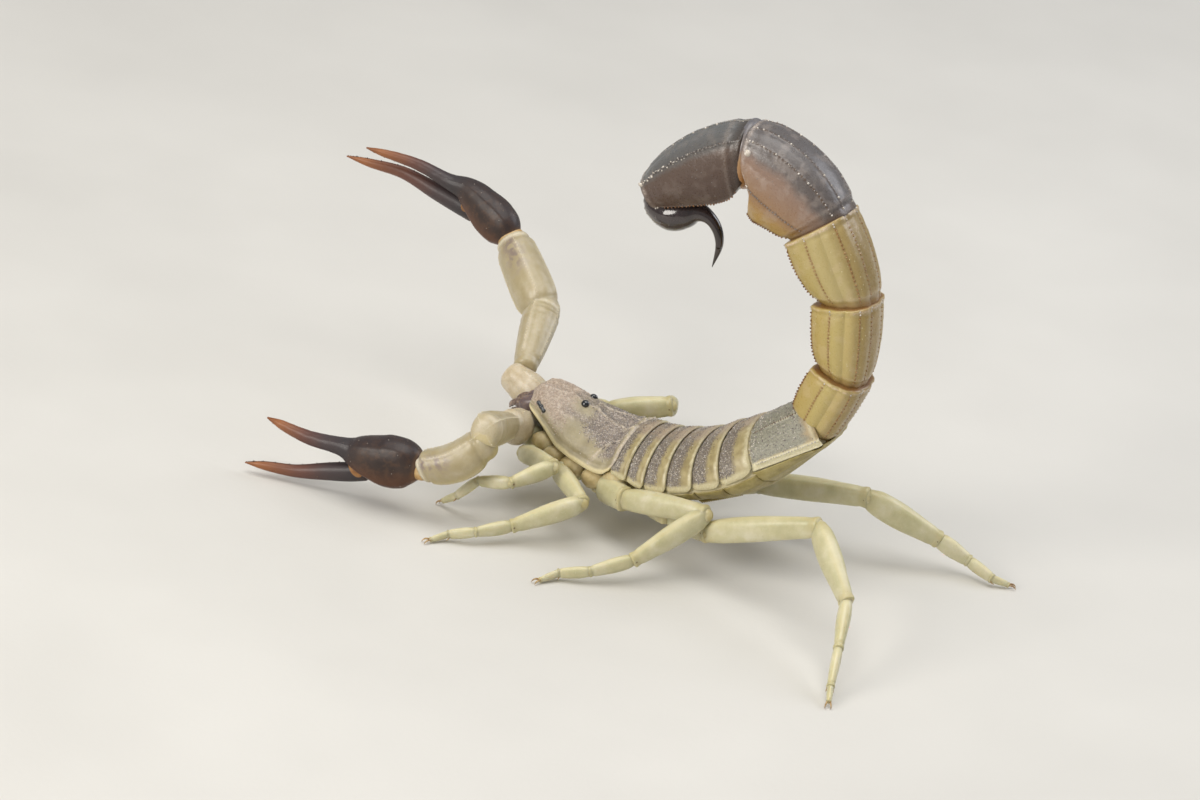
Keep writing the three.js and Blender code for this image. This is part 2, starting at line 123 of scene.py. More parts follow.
# ------------------------------------------------------------------ pieces
class Piece:
    """One finished object, gathered from parts in drawing millimetres."""

    def __init__(self, name):
        self.name = name
        self.bm = bmesh.new()

    def add(self, part, slot=0):
        bmesh.ops.recalc_face_normals(part, faces=part.faces)
        for face in part.faces:
            face.material_index = slot
            face.smooth = True
        mesh = bpy.data.meshes.new("part")
        part.to_mesh(mesh)
        part.free()
        self.bm.from_mesh(mesh)
        bpy.data.meshes.remove(mesh)

    def done(self, coats, nodes=(), slot=None):
        """Makes the object, with its finishes in slot order."""
        home = Matrix.Scale(MM, 4) @ Matrix.Translation(-MIDDLE)
        for vert in self.bm.verts:
            vert.co.z = max(vert.co.z, 0.0)
        bmesh.ops.transform(self.bm, matrix=home, verts=self.bm.verts)
        mesh = bpy.data.meshes.new(self.name)
        self.bm.to_mesh(mesh)
        self.bm.free()
        for coat in coats:
            mesh.materials.append(FINISHES[coat])
        thing = bpy.data.objects.new(self.name, mesh)
        bpy.context.scene.collection.objects.link(thing)
        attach(thing, "root")
        if nodes:
            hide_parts(*nodes)
        return thing


def mark_all(bm, marks):
    """Gives every point the same four marks."""
    layers = [bm.verts.layers.float.new(name) for name in MARKS]
    for vert in bm.verts:
        for layer, value in zip(layers, marks):
            vert[layer] = value
    return bm


def cover(rows, sides, surface, thick=0.0):
    """A grid laid over surface(t, u), which gives each point's place and its four marks."""
    bm = bmesh.new()
    bmesh.ops.create_grid(bm, x_segments=rows, y_segments=sides, size=0.5)
    layers = [bm.verts.layers.float.new(name) for name in MARKS]
    for vert in bm.verts:
        vert.co, marks = surface(vert.co.x + 0.5, vert.co.y + 0.5)
        for layer, value in zip(layers, marks):
            vert[layer] = value
    bmesh.ops.remove_doubles(bm, verts=bm.verts, dist=1e-4)
    if thick:
        bmesh.ops.recalc_face_normals(bm, faces=bm.faces)
        top = sum((f.normal.z * f.calc_area() for f in bm.faces))
        if top < 0:
            bmesh.ops.reverse_faces(bm, faces=bm.faces)
        bm.normal_update()
        ways = [vert.normal * thick for vert in bm.verts]
        bm.verts.index_update()
        made = bmesh.ops.extrude_face_region(bm, geom=bm.faces[:], use_keep_orig=True)
        fresh = [part for part in made["geom"] if isinstance(part, bmesh.types.BMVert)]
        bm.normal_update()
        for vert, way in zip(fresh, ways):
            vert.co -= way
    return bm


def facing(surface, t, u, e=0.004):
    """Place and outward direction of a surface at (t, u)."""
    here = surface(t, u)[0]
    dt = surface(min(t + e, 1.0), u)[0] - surface(max(t - e, 0.0), u)[0]
    du = surface(t, u + e)[0] - surface(t, u - e)[0]
    out = du.cross(dt)
    return here, (out.normalized() if out.length > 1e-9 else UP)


def seated(place, out, radius, tall):
    """Matrix that stands a round body at place, its own Z outwards."""
    turn = out.to_track_quat("Z", "Y").to_matrix().to_4x4()
    return Matrix.Translation(place) @ turn @ Matrix.Diagonal((radius, radius, tall, 1.0))


def strew(spots, template="grain"):
    """Small bodies on a surface. Each spot: place, outward direction, radius, height."""
    whole = bmesh.new()
    pattern = PATTERNS[template]
    count = len(pattern.vertices)
    for start in range(0, len(spots), BUNCH):
        bunch = bmesh.new()
        for place, out, radius, tall in spots[start : start + BUNCH]:
            bunch.from_mesh(pattern)
            bunch.verts.ensure_lookup_table()
            fit = seated(place, out, radius, tall)
            for vert in bunch.verts[-count:]:
                vert.co = fit @ vert.co
        mesh = bpy.data.meshes.new("bunch")
        bunch.to_mesh(mesh)
        bunch.free()
        whole.from_mesh(mesh)
        bpy.data.meshes.remove(mesh)
    return mark_all(whole, (0.5, 0.0, 0.0, 1.0))


def pattern_mesh(name, operator, **shape):
    bm = bmesh.new()
    operator(bm, **shape)
    mesh = bpy.data.meshes.new(name)
    bm.to_mesh(mesh)
    bm.free()
    return mesh


PATTERNS = {
    "grain": pattern_mesh("grain", bmesh.ops.create_icosphere, subdivisions=1, radius=1.0),
    "bead": pattern_mesh("bead", bmesh.ops.create_icosphere, subdivisions=2, radius=1.0),
    "hair": pattern_mesh(
        "hair",
        bmesh.ops.create_cone,
        cap_ends=True,
        segments=4,
        radius1=1.0,
        radius2=0.15,
        depth=1.0,
        matrix=Matrix.Translation((0, 0, 0.5)),
    ),
}


def axes(start, end, lift):
    """Directions along a segment, to its side, and up from it."""
    along = (end - start).normalized()
    side = along.cross(lift).normalized()
    return along, side, side.cross(along)


def limb(start, end, lift, girth, square=2.3, caps=(0.6, 0.6), bow=0.0, relief=None):
    """Surface of a limb segment. girth rows: place along it, half width, height above, depth below."""
    a = Vector(start)
    b = Vector(end)
    along, side, up = axes(a, b, Vector(lift))
    length = (b - a).length
    first = min(girth[0][1:4])
    last = min(girth[-1][1:4])
    cap = LIMB_CAP

    def surface(t, u):
        if t < cap:
            turn = t / cap * QUARTER
            place = -caps[0] * first * math.cos(turn)
            swell = math.sin(turn) ** 0.6
        elif t > 1 - cap:
            turn = (1 - t) / cap * QUARTER
            place = length + caps[1] * last * math.cos(turn)
            swell = math.sin(turn) ** 0.6
        else:
            place = (t - cap) / (1 - 2 * cap) * length
            swell = 1.0
        s = min(max(place / length, 0.0), 1.0)
        half, above, below = read(girth, s)
        c = math.cos(TAU * u)
        d = math.sin(TAU * u)
        x = power(c, 2 / square) * half * swell
        z = power(d, 2 / square) * (above if d > 0 else below) * swell
        mark = (0.0, 0.0)
        if relief:
            extra, *mark = relief(s, u)
            x += c * extra * swell
            z += d * extra * swell
        spot = a + along * place + side * x + up * (z + bow * math.sin(math.pi * s))
        return spot, (s, d, *mark)

    return surface


LIMB_CAP = 0.125  # share of a limb's rows that round its end
HORN_CAP = 0.04


def horn(points, radii, lift, flat=1.0, relief=None):
    """Surface of a curved tapering tube through points, with a rounded root and tip."""
    table = [(n / (len(points) - 1), *p) for n, p in enumerate(points)]
    sizes = [(n / (len(radii) - 1), r) for n, r in enumerate(radii)]

    def surface(t, u):
        s = min(max((t - HORN_CAP) / (1 - 2 * HORN_CAP), 0.0), 1.0)
        here = Vector(read(table, s))
        ahead = Vector(read(table, min(s + 0.01, 1.0)))
        behind = Vector(read(table, max(s - 0.01, 0.0)))
        along = (ahead - behind).normalized()
        side = along.cross(Vector(lift)).normalized()
        up = side.cross(along)
        radius = read(sizes, s)[0]
        push = 0.0
        if t < HORN_CAP:
            push = -radius * 0.6 * math.cos(t / HORN_CAP * QUARTER)
            radius *= math.sin(t / HORN_CAP * QUARTER)
        elif t > 1 - HORN_CAP:
            push = radius * 0.9 * math.cos((1 - t) / HORN_CAP * QUARTER)
            radius *= math.sin((1 - t) / HORN_CAP * QUARTER)
        c = math.cos(TAU * u)
        d = math.sin(TAU * u)
        if relief:
            radius += relief(s, u)
        return here + along * push + side * c * radius * flat + up * d * radius, (s, d, 0.0, 0.0)

    return surface


def soft_ball(centre, sizes):
    """A rounded fold of soft skin, sizes across, along and up."""
    spot = bmesh.new()
    spot.from_mesh(PATTERNS["bead"])
    for vert in spot.verts:
        wide, long, tall = vert.co
        vert.co = Vector(centre) + Vector((wide * sizes[0], long * sizes[1], tall * sizes[2]))
    return mark_all(spot, (0.5, 0.0, 0.0, 0.35))


# ------------------------------------------------------------------ finishes
def tint(code):
    """A colour from its six-figure screen code."""
    parts = [int(code[i : i + 2], 16) / 255 for i in (0, 2, 4)]
    return tuple(p / 12.92 if p <= 0.04045 else ((p + 0.055) / 1.055) ** 2.4 for p in parts) + (1.0,)


SKIN_DEPTHS = (1.0, 0.75, 0.45)  # how far red, green and blue light spread under the cuticle
SKIN_REACH = 0.9 * MM


class Finish:
    """One material and the short calls that build its nodes."""

    def __init__(self, name, rough=0.4, soft=0.0, coat=0.0, coat_rough=0.1, gloss=0.5):
        self.material = bpy.data.materials.new(name)
        self.material.use_nodes = True
        self.tree = self.material.node_tree
        self.shader = self.tree.nodes["Principled BSDF"]
        self.place = self.tree.nodes.new("ShaderNodeTexCoord").outputs["Object"]
        self.shader.inputs["Roughness"].default_value = rough
        self.shader.inputs["Specular IOR Level"].default_value = gloss
        self.shader.inputs["Subsurface Weight"].default_value = soft
        self.shader.inputs["Subsurface Radius"].default_value = SKIN_DEPTHS
        self.shader.inputs["Subsurface Scale"].default_value = SKIN_REACH
        self.shader.inputs["Coat Weight"].default_value = coat
        self.shader.inputs["Coat Roughness"].default_value = coat_rough

    def put(self, socket, value):
        if isinstance(value, bpy.types.NodeSocket):
            self.tree.links.new(value, socket)
        else:
            socket.default_value = value

    def mark(self, name):
        node = self.tree.nodes.new("ShaderNodeAttribute")
        node.attribute_name = name
        return node.outputs["Fac"]

    def mottle(self, size, detail=3.0, rough=0.55):
        """Soft noise whose blotches are about size millimetres across."""
        node = self.tree.nodes.new("ShaderNodeTexNoise")
        self.put(node.inputs["Vector"], self.place)
        node.inputs["Scale"].default_value = 1.0 / (size * MM)
        node.inputs["Detail"].default_value = detail
        node.inputs["Roughness"].default_value = rough
        return node.outputs["Fac"]

    def pebbles(self, size):
        """Distance to the nearest of many small grains, size millimetres apart."""
        node = self.tree.nodes.new("ShaderNodeTexVoronoi")
        self.put(node.inputs["Vector"], self.place)
        node.inputs["Scale"].default_value = 1.0 / (size * MM)
        return node.outputs["Distance"]

    def sum(self, a, b, how="ADD"):
        node = self.tree.nodes.new("ShaderNodeMath")
        node.operation = how
        self.put(node.inputs[0], a)
        self.put(node.inputs[1], b)
        return node.outputs[0]

    def times(self, a, b):
        return self.sum(a, b, "MULTIPLY")

    def range(self, value, low, high, a=0.0, b=1.0):
        node = self.tree.nodes.new("ShaderNodeMapRange")
        node.interpolation_type = "SMOOTHSTEP"
        self.put(node.inputs["Value"], value)
        node.inputs["From Min"].default_value = low
        node.inputs["From Max"].default_value = high
        node.inputs["To Min"].default_value = a
        node.inputs["To Max"].default_value = b
        return node.outputs["Result"]

    def ramp(self, value, *stops):
        node = self.tree.nodes.new("ShaderNodeValToRGB")
        self.put(node.inputs["Fac"], value)
        steps = node.color_ramp.elements
        while len(steps) < len(stops):
            steps.new(0.5)
        for stop, (place, colour) in zip(steps, stops):
            stop.position = place
            stop.color = tint(colour)
        return node.outputs["Color"]

    def blend(self, share, a, b, how="MIX"):
        node = self.tree.nodes.new("ShaderNodeMix")
        node.data_type = "RGBA"
        node.blend_type = how
        self.put(node.inputs[0], share)
        self.put(node.inputs[6], tint(a) if isinstance(a, str) else a)
        self.put(node.inputs[7], tint(b) if isinstance(b, str) else b)
        return node.outputs[2]

    def relief(self, height, depth):
        """Fine relief, depth in millimetres."""
        node = self.tree.nodes.new("ShaderNodeBump")
        node.inputs["Distance"].default_value = depth * MM
        node.inputs["Strength"].default_value = 1.0
        self.put(node.inputs["Height"], height)
        self.put(self.shader.inputs["Normal"], node.outputs["Normal"])

    def colour(self, value):
        self.put(self.shader.inputs["Base Color"], value)

    def rough(self, value):
        self.put(self.shader.inputs["Roughness"], value)

    def done(self, base, fine, rough, height, depth):
        """The finish with its colour, its gloss broken up by the fine noise, and its relief."""
        self.colour(base)
        self.rough(self.range(fine, 0.3, 0.7, *rough))
        self.relief(height, depth)
        return self.material

    def slope(self, value):
        """Brings a mark that runs from -1 to 1 to 0 to 1."""
        return self.sum(self.times(value, 0.5), 0.5)


def shield_finish():
    f = Finish("carapace cuticle", rough=0.42, soft=0.12, coat=0.15, coat_rough=0.35)
    blotch = f.mottle(1.6)
    fine = f.mottle(0.22, 4.0, 0.7)
    grains = f.pebbles(0.2)
    side = f.ramp(blotch, (0.3, "908569"), (0.5, "9f9476"), (0.7, "ada285"))
    front = f.ramp(fine, (0.32, "8b7a6c"), (0.5, "a69584"), (0.66, "c4b6a6"))
    warm = f.times(f.range(f.mark("along"), 0.5, 0.3), f.range(f.mark("height"), 0.86, 0.6))
    base = f.blend(warm, side, front)
    grey = f.ramp(grains, (0.1, "c4b8ad"), (0.35, "998c81"), (0.7, "80756c"))
    base = f.blend(f.times(f.mark("dark"), f.range(fine, 0.3, 0.55, 0.55, 1.0)), base, grey)
    base = f.blend(f.times(f.mark("pale"), f.range(fine, 0.35, 0.6, 0.4, 1.0)), base, "dccdbd")
    rim = f.range(f.sum(f.mark("height"), f.times(blotch, 0.04)), 0.93, 0.985)
    base = f.blend(rim, base, f.ramp(fine, (0.3, "cbbd90"), (0.7, "ddd1aa")))
    return f.done(base, fine, (0.34, 0.55), f.sum(f.times(grains, -0.6), fine), 0.03)


def tergite_finish():
    f = Finish("back plate cuticle", rough=0.4, soft=0.12, coat=0.2, coat_rough=0.3)
    blotch = f.mottle(0.9)
    fine = f.mottle(0.2, 4.0, 0.7)
    grains = f.pebbles(0.17)
    olive = f.ramp(blotch, (0.3, "8f8059"), (0.5, "a39469"), (0.75, "b5a67d"))
    brown = f.ramp(fine, (0.3, "8f7c6c"), (0.5, "a99682"), (0.7, "bfae98"))
    base = f.blend(f.range(f.mark("height"), 0.52, 0.2, 0.0, 0.85), olive, brown)
    slate = f.ramp(grains, (0.08, "c3baae"), (0.28, "8b8172"), (0.7, "6e645a"))
    base = f.blend(f.times(f.mark("dark"), f.range(fine, 0.25, 0.5, 0.7, 1.0)), base, slate)
    base = f.blend(f.mark("pale"), base, f.ramp(fine, (0.3, "bdb188"), (0.7, "d8cfae")))
    pits = f.times(grains, f.times(f.mark("dark"), -1.2))
    return f.done(base, fine, (0.3, 0.5), f.sum(pits, f.times(fine, 0.5)), 0.03)


def last_tergite_finish():
    f = Finish("last back plate cuticle", rough=0.4, soft=0.1, coat=0.15, coat_rough=0.35)
    blotch = f.mottle(0.8)
    fine = f.mottle(0.22, 5.0, 0.75)
    grains = f.pebbles(0.2)
    tan = f.ramp(blotch, (0.3, "8f7a52"), (0.6, "a8926a"), (0.8, "b9a47c"))
    slate = f.ramp(fine, (0.32, "6e6c60"), (0.5, "8b8878"), (0.62, "a09c8a"), (0.75, "c9c5b8"))
    base = f.blend(f.mark("dark"), tan, slate)
    base = f.blend(f.mark("pale"), base, f.ramp(fine, (0.3, "d3c9a0"), (0.7, "ece4c6")))
    return f.done(base, fine, (0.34, 0.55), f.sum(f.times(grains, -0.7), fine), 0.035)


def grain_finish(name, low, high, rough=0.28):
    f = Finish(name, rough=rough, soft=0.1, coat=0.6, coat_rough=0.12)
    f.colour(f.ramp(f.mottle(0.3), (0.35, low), (0.65, high)))
    return f.material


def soft_finish(name, deep, mid, light, soft=0.25, rough=0.45):
    f = Finish(name, rough=rough, soft=soft)
    wash = f.mottle(1.1)
    fine = f.mottle(0.18, 4.0, 0.65)
    base = f.ramp(wash, (0.3, deep), (0.5, mid), (0.72, light))
    base = f.blend(f.range(fine, 0.55, 0.75, 0.0, 0.3), base, light)
    return f.done(base, fine, (rough - 0.06, rough + 0.1), f.sum(fine, f.times(f.mottle(0.5), 0.8)), 0.03)


def leg_finish():
    f = Finish("leg cuticle", rough=0.36, soft=0.3, coat=0.25, coat_rough=0.25)
    wash = f.mottle(1.8)
    fine = f.mottle(0.16, 4.0, 0.6)
    flank = f.ramp(wash, (0.3, "b9b48c"), (0.5, "c6c09a"), (0.72, "d3cdb2"))
    # edge: yellower colour for the top and bottom of each segment, a painted glow of light shining through
    # the thin cuticle there
    edge = f.ramp(wash, (0.3, "c5bb8b"), (0.7, "d4cba2"))
    high = f.slope(f.mark("height"))
    # painted glow: the underside and the top of each segment take the yellower edge colour, and the flanks
    # keep the paler flank colour
    base = f.blend(f.range(high, 0.16, 0.02), flank, edge)
    base = f.blend(f.range(high, 0.88, 0.99, 0.0, 0.8), base, edge)
    root = f.range(f.mark("along"), 0.12, 0.0, 0.0, 0.7)
    tip = f.range(f.mark("along"), 0.88, 1.0, 0.0, 0.7)
    base = f.blend(f.sum(root, tip), base, "bdb182")
    base = f.blend(f.range(fine, 0.58, 0.75, 0.0, 0.35), base, "e6e3cd")
    base = f.blend(f.mark("dark"), base, "6b5a3c")
    base = f.blend(f.mark("pale"), base, "e4e0c8")
    return f.done(base, fine, (0.28, 0.46), f.sum(fine, f.times(f.mottle(0.6), 0.6)), 0.022)


def palp_finish():
    f = Finish("pincer arm cuticle", rough=0.36, soft=0.28, coat=0.3, coat_rough=0.25)
    wash = f.mottle(1.4)
    fine = f.mottle(0.16, 4.0, 0.65)
    base = f.ramp(wash, (0.3, "a49672"), (0.5, "ada07f"), (0.72, "b8ac91"))
    base = f.blend(f.range(f.slope(f.mark("height")), 0.35, 0.05), base, "baaa78")
    streak = f.times(f.mark("dark"), f.range(f.mottle(0.7, 3.0), 0.38, 0.58, 0.1, 0.85))
    base = f.blend(streak, base, "80706c")
    base = f.blend(f.times(f.mark("pale"), f.range(fine, 0.3, 0.6, 0.5, 1.0)), base, "e6dcc6")
    return f.done(base, fine, (0.27, 0.46), f.sum(fine, f.times(f.mottle(0.5), 0.8)), 0.028)


def hand_finish():
    f = Finish("pincer cuticle", rough=0.4, soft=0.03, coat=0.12, coat_rough=0.25, gloss=0.3)
    wash = f.mottle(2.2)
    fine = f.mottle(0.14, 4.0, 0.65)
    streaks = f.mottle(0.6, 2.0)
    palm = f.ramp(wash, (0.3, "2d2320"), (0.5, "382c28"), (0.72, "43352e"))
    palm = f.blend(f.times(f.range(streaks, 0.45, 0.65), 0.35), palm, "5e4330")
    palm = f.blend(f.range(f.mark("height"), 0.1, -0.7, 0.0, 0.75), palm, "5c3820")
    palm = f.blend(f.range(f.mark("height"), 0.3, 1.0, 0.0, 0.5), palm, "363033")
    along = f.sum(f.mark("along"), f.times(f.sum(wash, -0.5), 0.08))
    finger = f.ramp(
        along,
        (0.0, "3e322d"),
        (0.42, "39302f"),
        (0.54, "3a3537"),
        (0.66, "463b3c"),
        (0.78, "67443a"),
        (0.93, "955f3a"),
        (1.0, "7c4c2c"),
    )
    base = f.blend(f.range(along, 0.36, 0.5), palm, finger)
    base = f.blend(f.range(fine, 0.66, 0.78, 0.0, 0.12), base, "7d7068")
    base = f.blend(f.mark("dark"), base, "31262a")
    base = f.blend(f.mark("pale"), base, "b98a58")
    return f.done(base, fine, (0.34, 0.5), f.sum(fine, f.times(f.mottle(0.35), 0.7)), 0.018)


def tail_finish(name, stops, keel="84592f", rim="dcc6ae", grain=0.02, rough=0.3, soft=0.15, painted_highlight_share=0.12):
    """Tail ring colours from the inner side, 0, round to the outer side, 1."""
    f = Finish(name, rough=rough, soft=soft, coat=0.3, coat_rough=0.22)
    wash = f.mottle(1.5)
    fine = f.mottle(0.18, 4.0, 0.65)
    # patch: large soft blotches that take the pale rim colour, painted highlights on the faces of the ring
    patch = f.mottle(1.6, 2.0)
    round_way = f.sum(f.slope(f.mark("height")), f.times(f.sum(wash, -0.5), 0.1))
    base = f.ramp(round_way, *stops)
    # painted highlights: the pale rim colour is laid on the blotches, up to the given share
    base = f.blend(f.range(patch, 0.5, 0.66, 0.0, painted_highlight_share), base, rim)
    base = f.blend(f.range(f.mark("along"), 0.12, 0.0, 0.0, 0.7), base, keel)
    base = f.blend(f.range(fine, 0.66, 0.8, 0.0, 0.22), base, rim)
    base = f.blend(f.mark("dark"), base, keel)
    base = f.blend(f.times(f.mark("pale"), f.range(fine, 0.35, 0.6, 0.35, 1.0)), base, rim)
    return f.done(base, fine, (rough - 0.06, rough + 0.14), f.sum(fine, f.times(f.mottle(0.45), 1.0)), grain)


AMBER = (
    (0.05, "ab934f"), (0.28, "b49e5c"), (0.48, "b7a566"),
    (0.72, "b8a469"), (0.88, "a99157"), (1.0, "987f4b"),
)
HONEY = (
    (0.05, "aa9452"), (0.28, "b29f61"), (0.48, "b6a56e"),
    (0.72, "b5a470"), (0.88, "a8925e"), (1.0, "927c4d"),
)
SMOKY = (
    (0.06, "a98d4e"),
    (0.2, "a6854a"),
    (0.36, "967452"),
    (0.68, "8a7162"),
    (0.77, "625a57"),
    (1.0, "5c5858"),
)
DUSKY = ((0.1, "463226"), (0.3, "4a352a"), (0.7, "523f34"), (0.78, "5c5957"), (1.0, "616364"))
JOINT = ((0.2, "b07a42"), (0.5, "a98359"), (0.66, "7a7070"), (1.0, "66656a"))


def sting_finish():
    f = Finish("sting cuticle", rough=0.16, soft=0.0, coat=0.8, coat_rough=0.06)
    wash = f.mottle(1.2)
    fine = f.mottle(0.2, 3.0)
    bulb = f.ramp(wash, (0.3, "271e1f"), (0.6, "392e2e"), (0.8, "493a37"))
    base = f.blend(f.range(f.mark("along"), 0.5, 0.8), bulb, f.ramp(wash, (0.3, "160c07"), (0.7, "2a160c")))
    base = f.blend(f.mark("pale"), base, "7c695f")
    return f.done(base, fine, (0.12, 0.26), fine, 0.01)


def jaw_finish():
    f = Finish("jaw cuticle", rough=0.34, soft=0.06, coat=0.4, coat_rough=0.2)
    wash = f.mottle(0.8)
    fine = f.mottle(0.15, 4.0, 0.65)
    base = f.ramp(wash, (0.3, "54474a"), (0.5, "6a5a58"), (0.72, "837168"))
    tips = f.ramp(wash, (0.3, "80502e"), (0.7, "b08a5e"))
    base = f.blend(f.mark("pale"), base, tips)
    base = f.blend(f.mark("dark"), base, "2c1c18")
    return f.done(base, fine, (0.28, 0.45), fine, 0.02)


def eye_finish():
    f = Finish("eye lens", rough=0.08, coat=1.0, coat_rough=0.03)
    f.colour(f.ramp(f.mottle(0.4), (0.3, "05070a"), (0.7, "151d27")))
    return f.material


def bristle_finish():
    f = Finish("bristle", rough=0.4)
    f.colour(f.ramp(f.mottle(0.6), (0.3, "8a7148"), (0.7, "b39a6a")))
    return f.material


def floor_finish():
    f = Finish("floor", rough=0.75, gloss=0.2)
    f.colour(f.ramp(f.mottle(40.0, 3.0), (0.3, "d2d0cb"), (0.7, "dad8d3")))
    f.relief(f.mottle(0.6, 5.0), 0.02)
    return f.material


# ------------------------------------------------------------------ carapace
SHIELD = (  # y, height of the middle line, half width, drop to the side margin
    (-0.85, 10.45, 1.9, 0.9),
    (-0.6, 10.95, 2.5, 1.5),
    (-0.2, 11.3, 2.9, 2.0),
    (0.5, 11.5, 3.25, 2.5),
    (1.9, 11.45, 3.8, 3.2),
    (3.5, 11.0, 4.4, 3.75),
    (4.6, 10.66, 4.75, 3.7),
    (5.9, 10.38, 5.05, 3.68),
    (8.3, 10.15, 5.45, 3.75),
    (9.6, 10.18, 5.6, 3.55),
    (10.55, 10.28, 5.55, 3.1),
)
EYE_RIDGE = ((0.42, 2.6), (0.62, 3.5), (0.95, 4.4), (0.78, 5.3), (0.45, 5.9))
BACK_RIDGE = ((0.35, 5.7), (0.95, 7.0), (1.35, 8.2), (1.5, 9.4), (1.3, 10.3))
CORNER_RIDGE = ((5.35, 7.5), (4.97, 8.25), (4.2, 8.8), (3.5, 9.5), (2.6, 10.1))
FRONT_RIDGE = ((0.9, -0.2), (1.15, 0.9), (0.95, 2.2), (0.6, 3.1))
CHEEK_RIDGE = ((2.0, 2.2), (3.0, 2.8), (2.95, 4.4), (2.2, 5.6))


def wobble(x, y, z, size):
    """Smooth unevenness about size millimetres across."""
    return noise.noise(Vector((x, y, z)) / size)


def shield_relief(x, y):
    """Lift above the plain arch, and the grey and pale marks, at x across and y along."""
    wide = abs(x)
    lift = 0.42 * hill(x, 1.2) * hill(y - 4.6, 1.5)
    lift -= 0.28 * hill(x, 0.42) * step(3.2, 2.0, y) * step(-0.8, 0.2, y)
    lift -= 0.16 * hill(x, 0.2) * step(3.2, 3.8, y) * step(5.6, 5.0, y)
    lift -= 0.3 * hill(x, 0.34) * step(5.8, 6.6, y)
    eye_gap = to_line(wide, y, EYE_RIDGE)[0]
    back_gap = to_line(wide, y, BACK_RIDGE)[0]
    corner_gap = to_line(wide, y, CORNER_RIDGE)[0]
    front_gap = to_line(wide, y, FRONT_RIDGE)[0]
    cheek_gap = to_line(wide, y, CHEEK_RIDGE)[0]
    groove = to_line(wide, y, ((1.6, 1.6), (2.5, 3.6), (2.4, 5.8), (1.9, 7.2)))[0]
    hollow = to_line(wide, y, ((2.1, 6.6), (3.0, 8.0), (2.7, 9.6)))[0]
    lift += 0.12 * hill(eye_gap, 0.18) + 0.15 * hill(back_gap, 0.17) + 0.13 * hill(corner_gap, 0.18)
    lift += 0.1 * hill(front_gap, 0.18) + 0.05 * hill(cheek_gap, 0.3)
    lift -= 0.2 * hill(groove, 0.6) + 0.22 * hill(hollow, 0.7)
    lift -= 0.22 * hill(y - 9.55, 0.3) * step(0.3, 0.8, wide)
    lift += 0.16 * hill(y - 10.2, 0.26)
    rough = wobble(x, y, 0.0, 0.55)
    grey = step(5.0, 6.6, y + 0.5 * rough) * step(4.7, 3.7, wide - 0.35 * (y - 7.5) + 0.5 * rough)
    grey = max(grey, 0.9 * hill(groove, 0.55) * step(2.6, 3.6, y))
    grey = max(grey, step(0.35, 0.9, y - 8.3 + (wide - 4.6) * 0.7 + 0.3 * rough) * step(5.35, 4.9, wide))
    grey *= step(10.25, 9.85, y)
    patch = step(1.25, 0.85, wide + 0.35 * abs(y - 4.7)) * step(3.0, 3.5, y) * step(6.3, 5.8, y)
    grey = max(grey, 0.85 * patch)
    pale = max(0.9 * hill(back_gap, 0.16), 0.75 * hill(corner_gap, 0.15), 0.7 * hill(front_gap, 0.15))
    pale = max(pale, 0.4 * hill(cheek_gap, 0.2), 0.45 * hill(eye_gap, 0.1))
    pale *= min(max(0.6 + 1.5 * wobble(x, y, 3.0, 0.5), 0.15), 1.0)
    pale = max(pale, 0.7 * step(10.15, 10.4, y))
    return lift, grey * (1 - 0.8 * pale), pale


def shield_at(y, angle, extra=0.0):
    """Place on the carapace at y along and angle round, 0 at the left margin, and its marks."""
    top, half, drop = read(SHIELD, y)
    c = math.cos(angle)
    s = math.sin(angle)
    x = power(c, 0.97) * half
    z = power(s, 0.97) * drop
    lift, grey, pale = shield_relief(x, y)
    wide = abs(x) / half
    fade = step(1.0, 0.86, wide) if s > 0 else 0.0
    edge = angle if c > 0 else math.pi - angle
    lift = lift * fade + 0.1 * hill(edge, 0.09) - 0.07 * hill(edge - 0.2, 0.07)
    lift += 0.025 * wobble(x, y, z, 0.5) * fade + extra
    out = Vector((c / half, 0.0, s / drop)).normalized()
    place = Vector((x, y, top - drop + z)) + out * lift
    arc = abs(angle - QUARTER) / QUARTER
    return place, ((y + 0.75) / 11.3, min(arc, 1.0), grey, pale)


def shield(t, u):
    y = mix(-0.85, 10.55, t**1.12)
    angle = mix(-0.02, math.pi + 0.02, u)
    place, marks = shield_at(y, angle)
    corner = step(0.86, 1.0, t) * step(0.7, 1.0, marks[1])
    place.y -= 0.45 * corner**1.5
    place.y -= 0.35 * step(0.04, 0.0, t) * step(0.9, 0.2, abs(math.cos(angle)))
    return place, marks


def shield_spots(seed, count, wanted, size):
    dice = random.Random(seed)
    spots = []
    while len(spots) < count:
        y = dice.uniform(-0.6, 10.45)
        angle = dice.uniform(0.12, math.pi - 0.12)
        place, marks = shield_at(y, angle)
        if dice.random() > wanted(place.x, y, marks):
            continue
        ahead = shield_at(y + 0.05, angle)[0] - place
        across = shield_at(y, angle + 0.02)[0] - place
        out = across.cross(ahead).normalized()
        if out.z < 0 and abs(place.x) < 4:
            out = -out
        if out.x * place.x < 0 and abs(place.x) > 2:
            out = -out
        radius = dice.uniform(*size)
        spots.append((place, out, radius, radius * dice.uniform(0.7, 1.1)))
    return spots


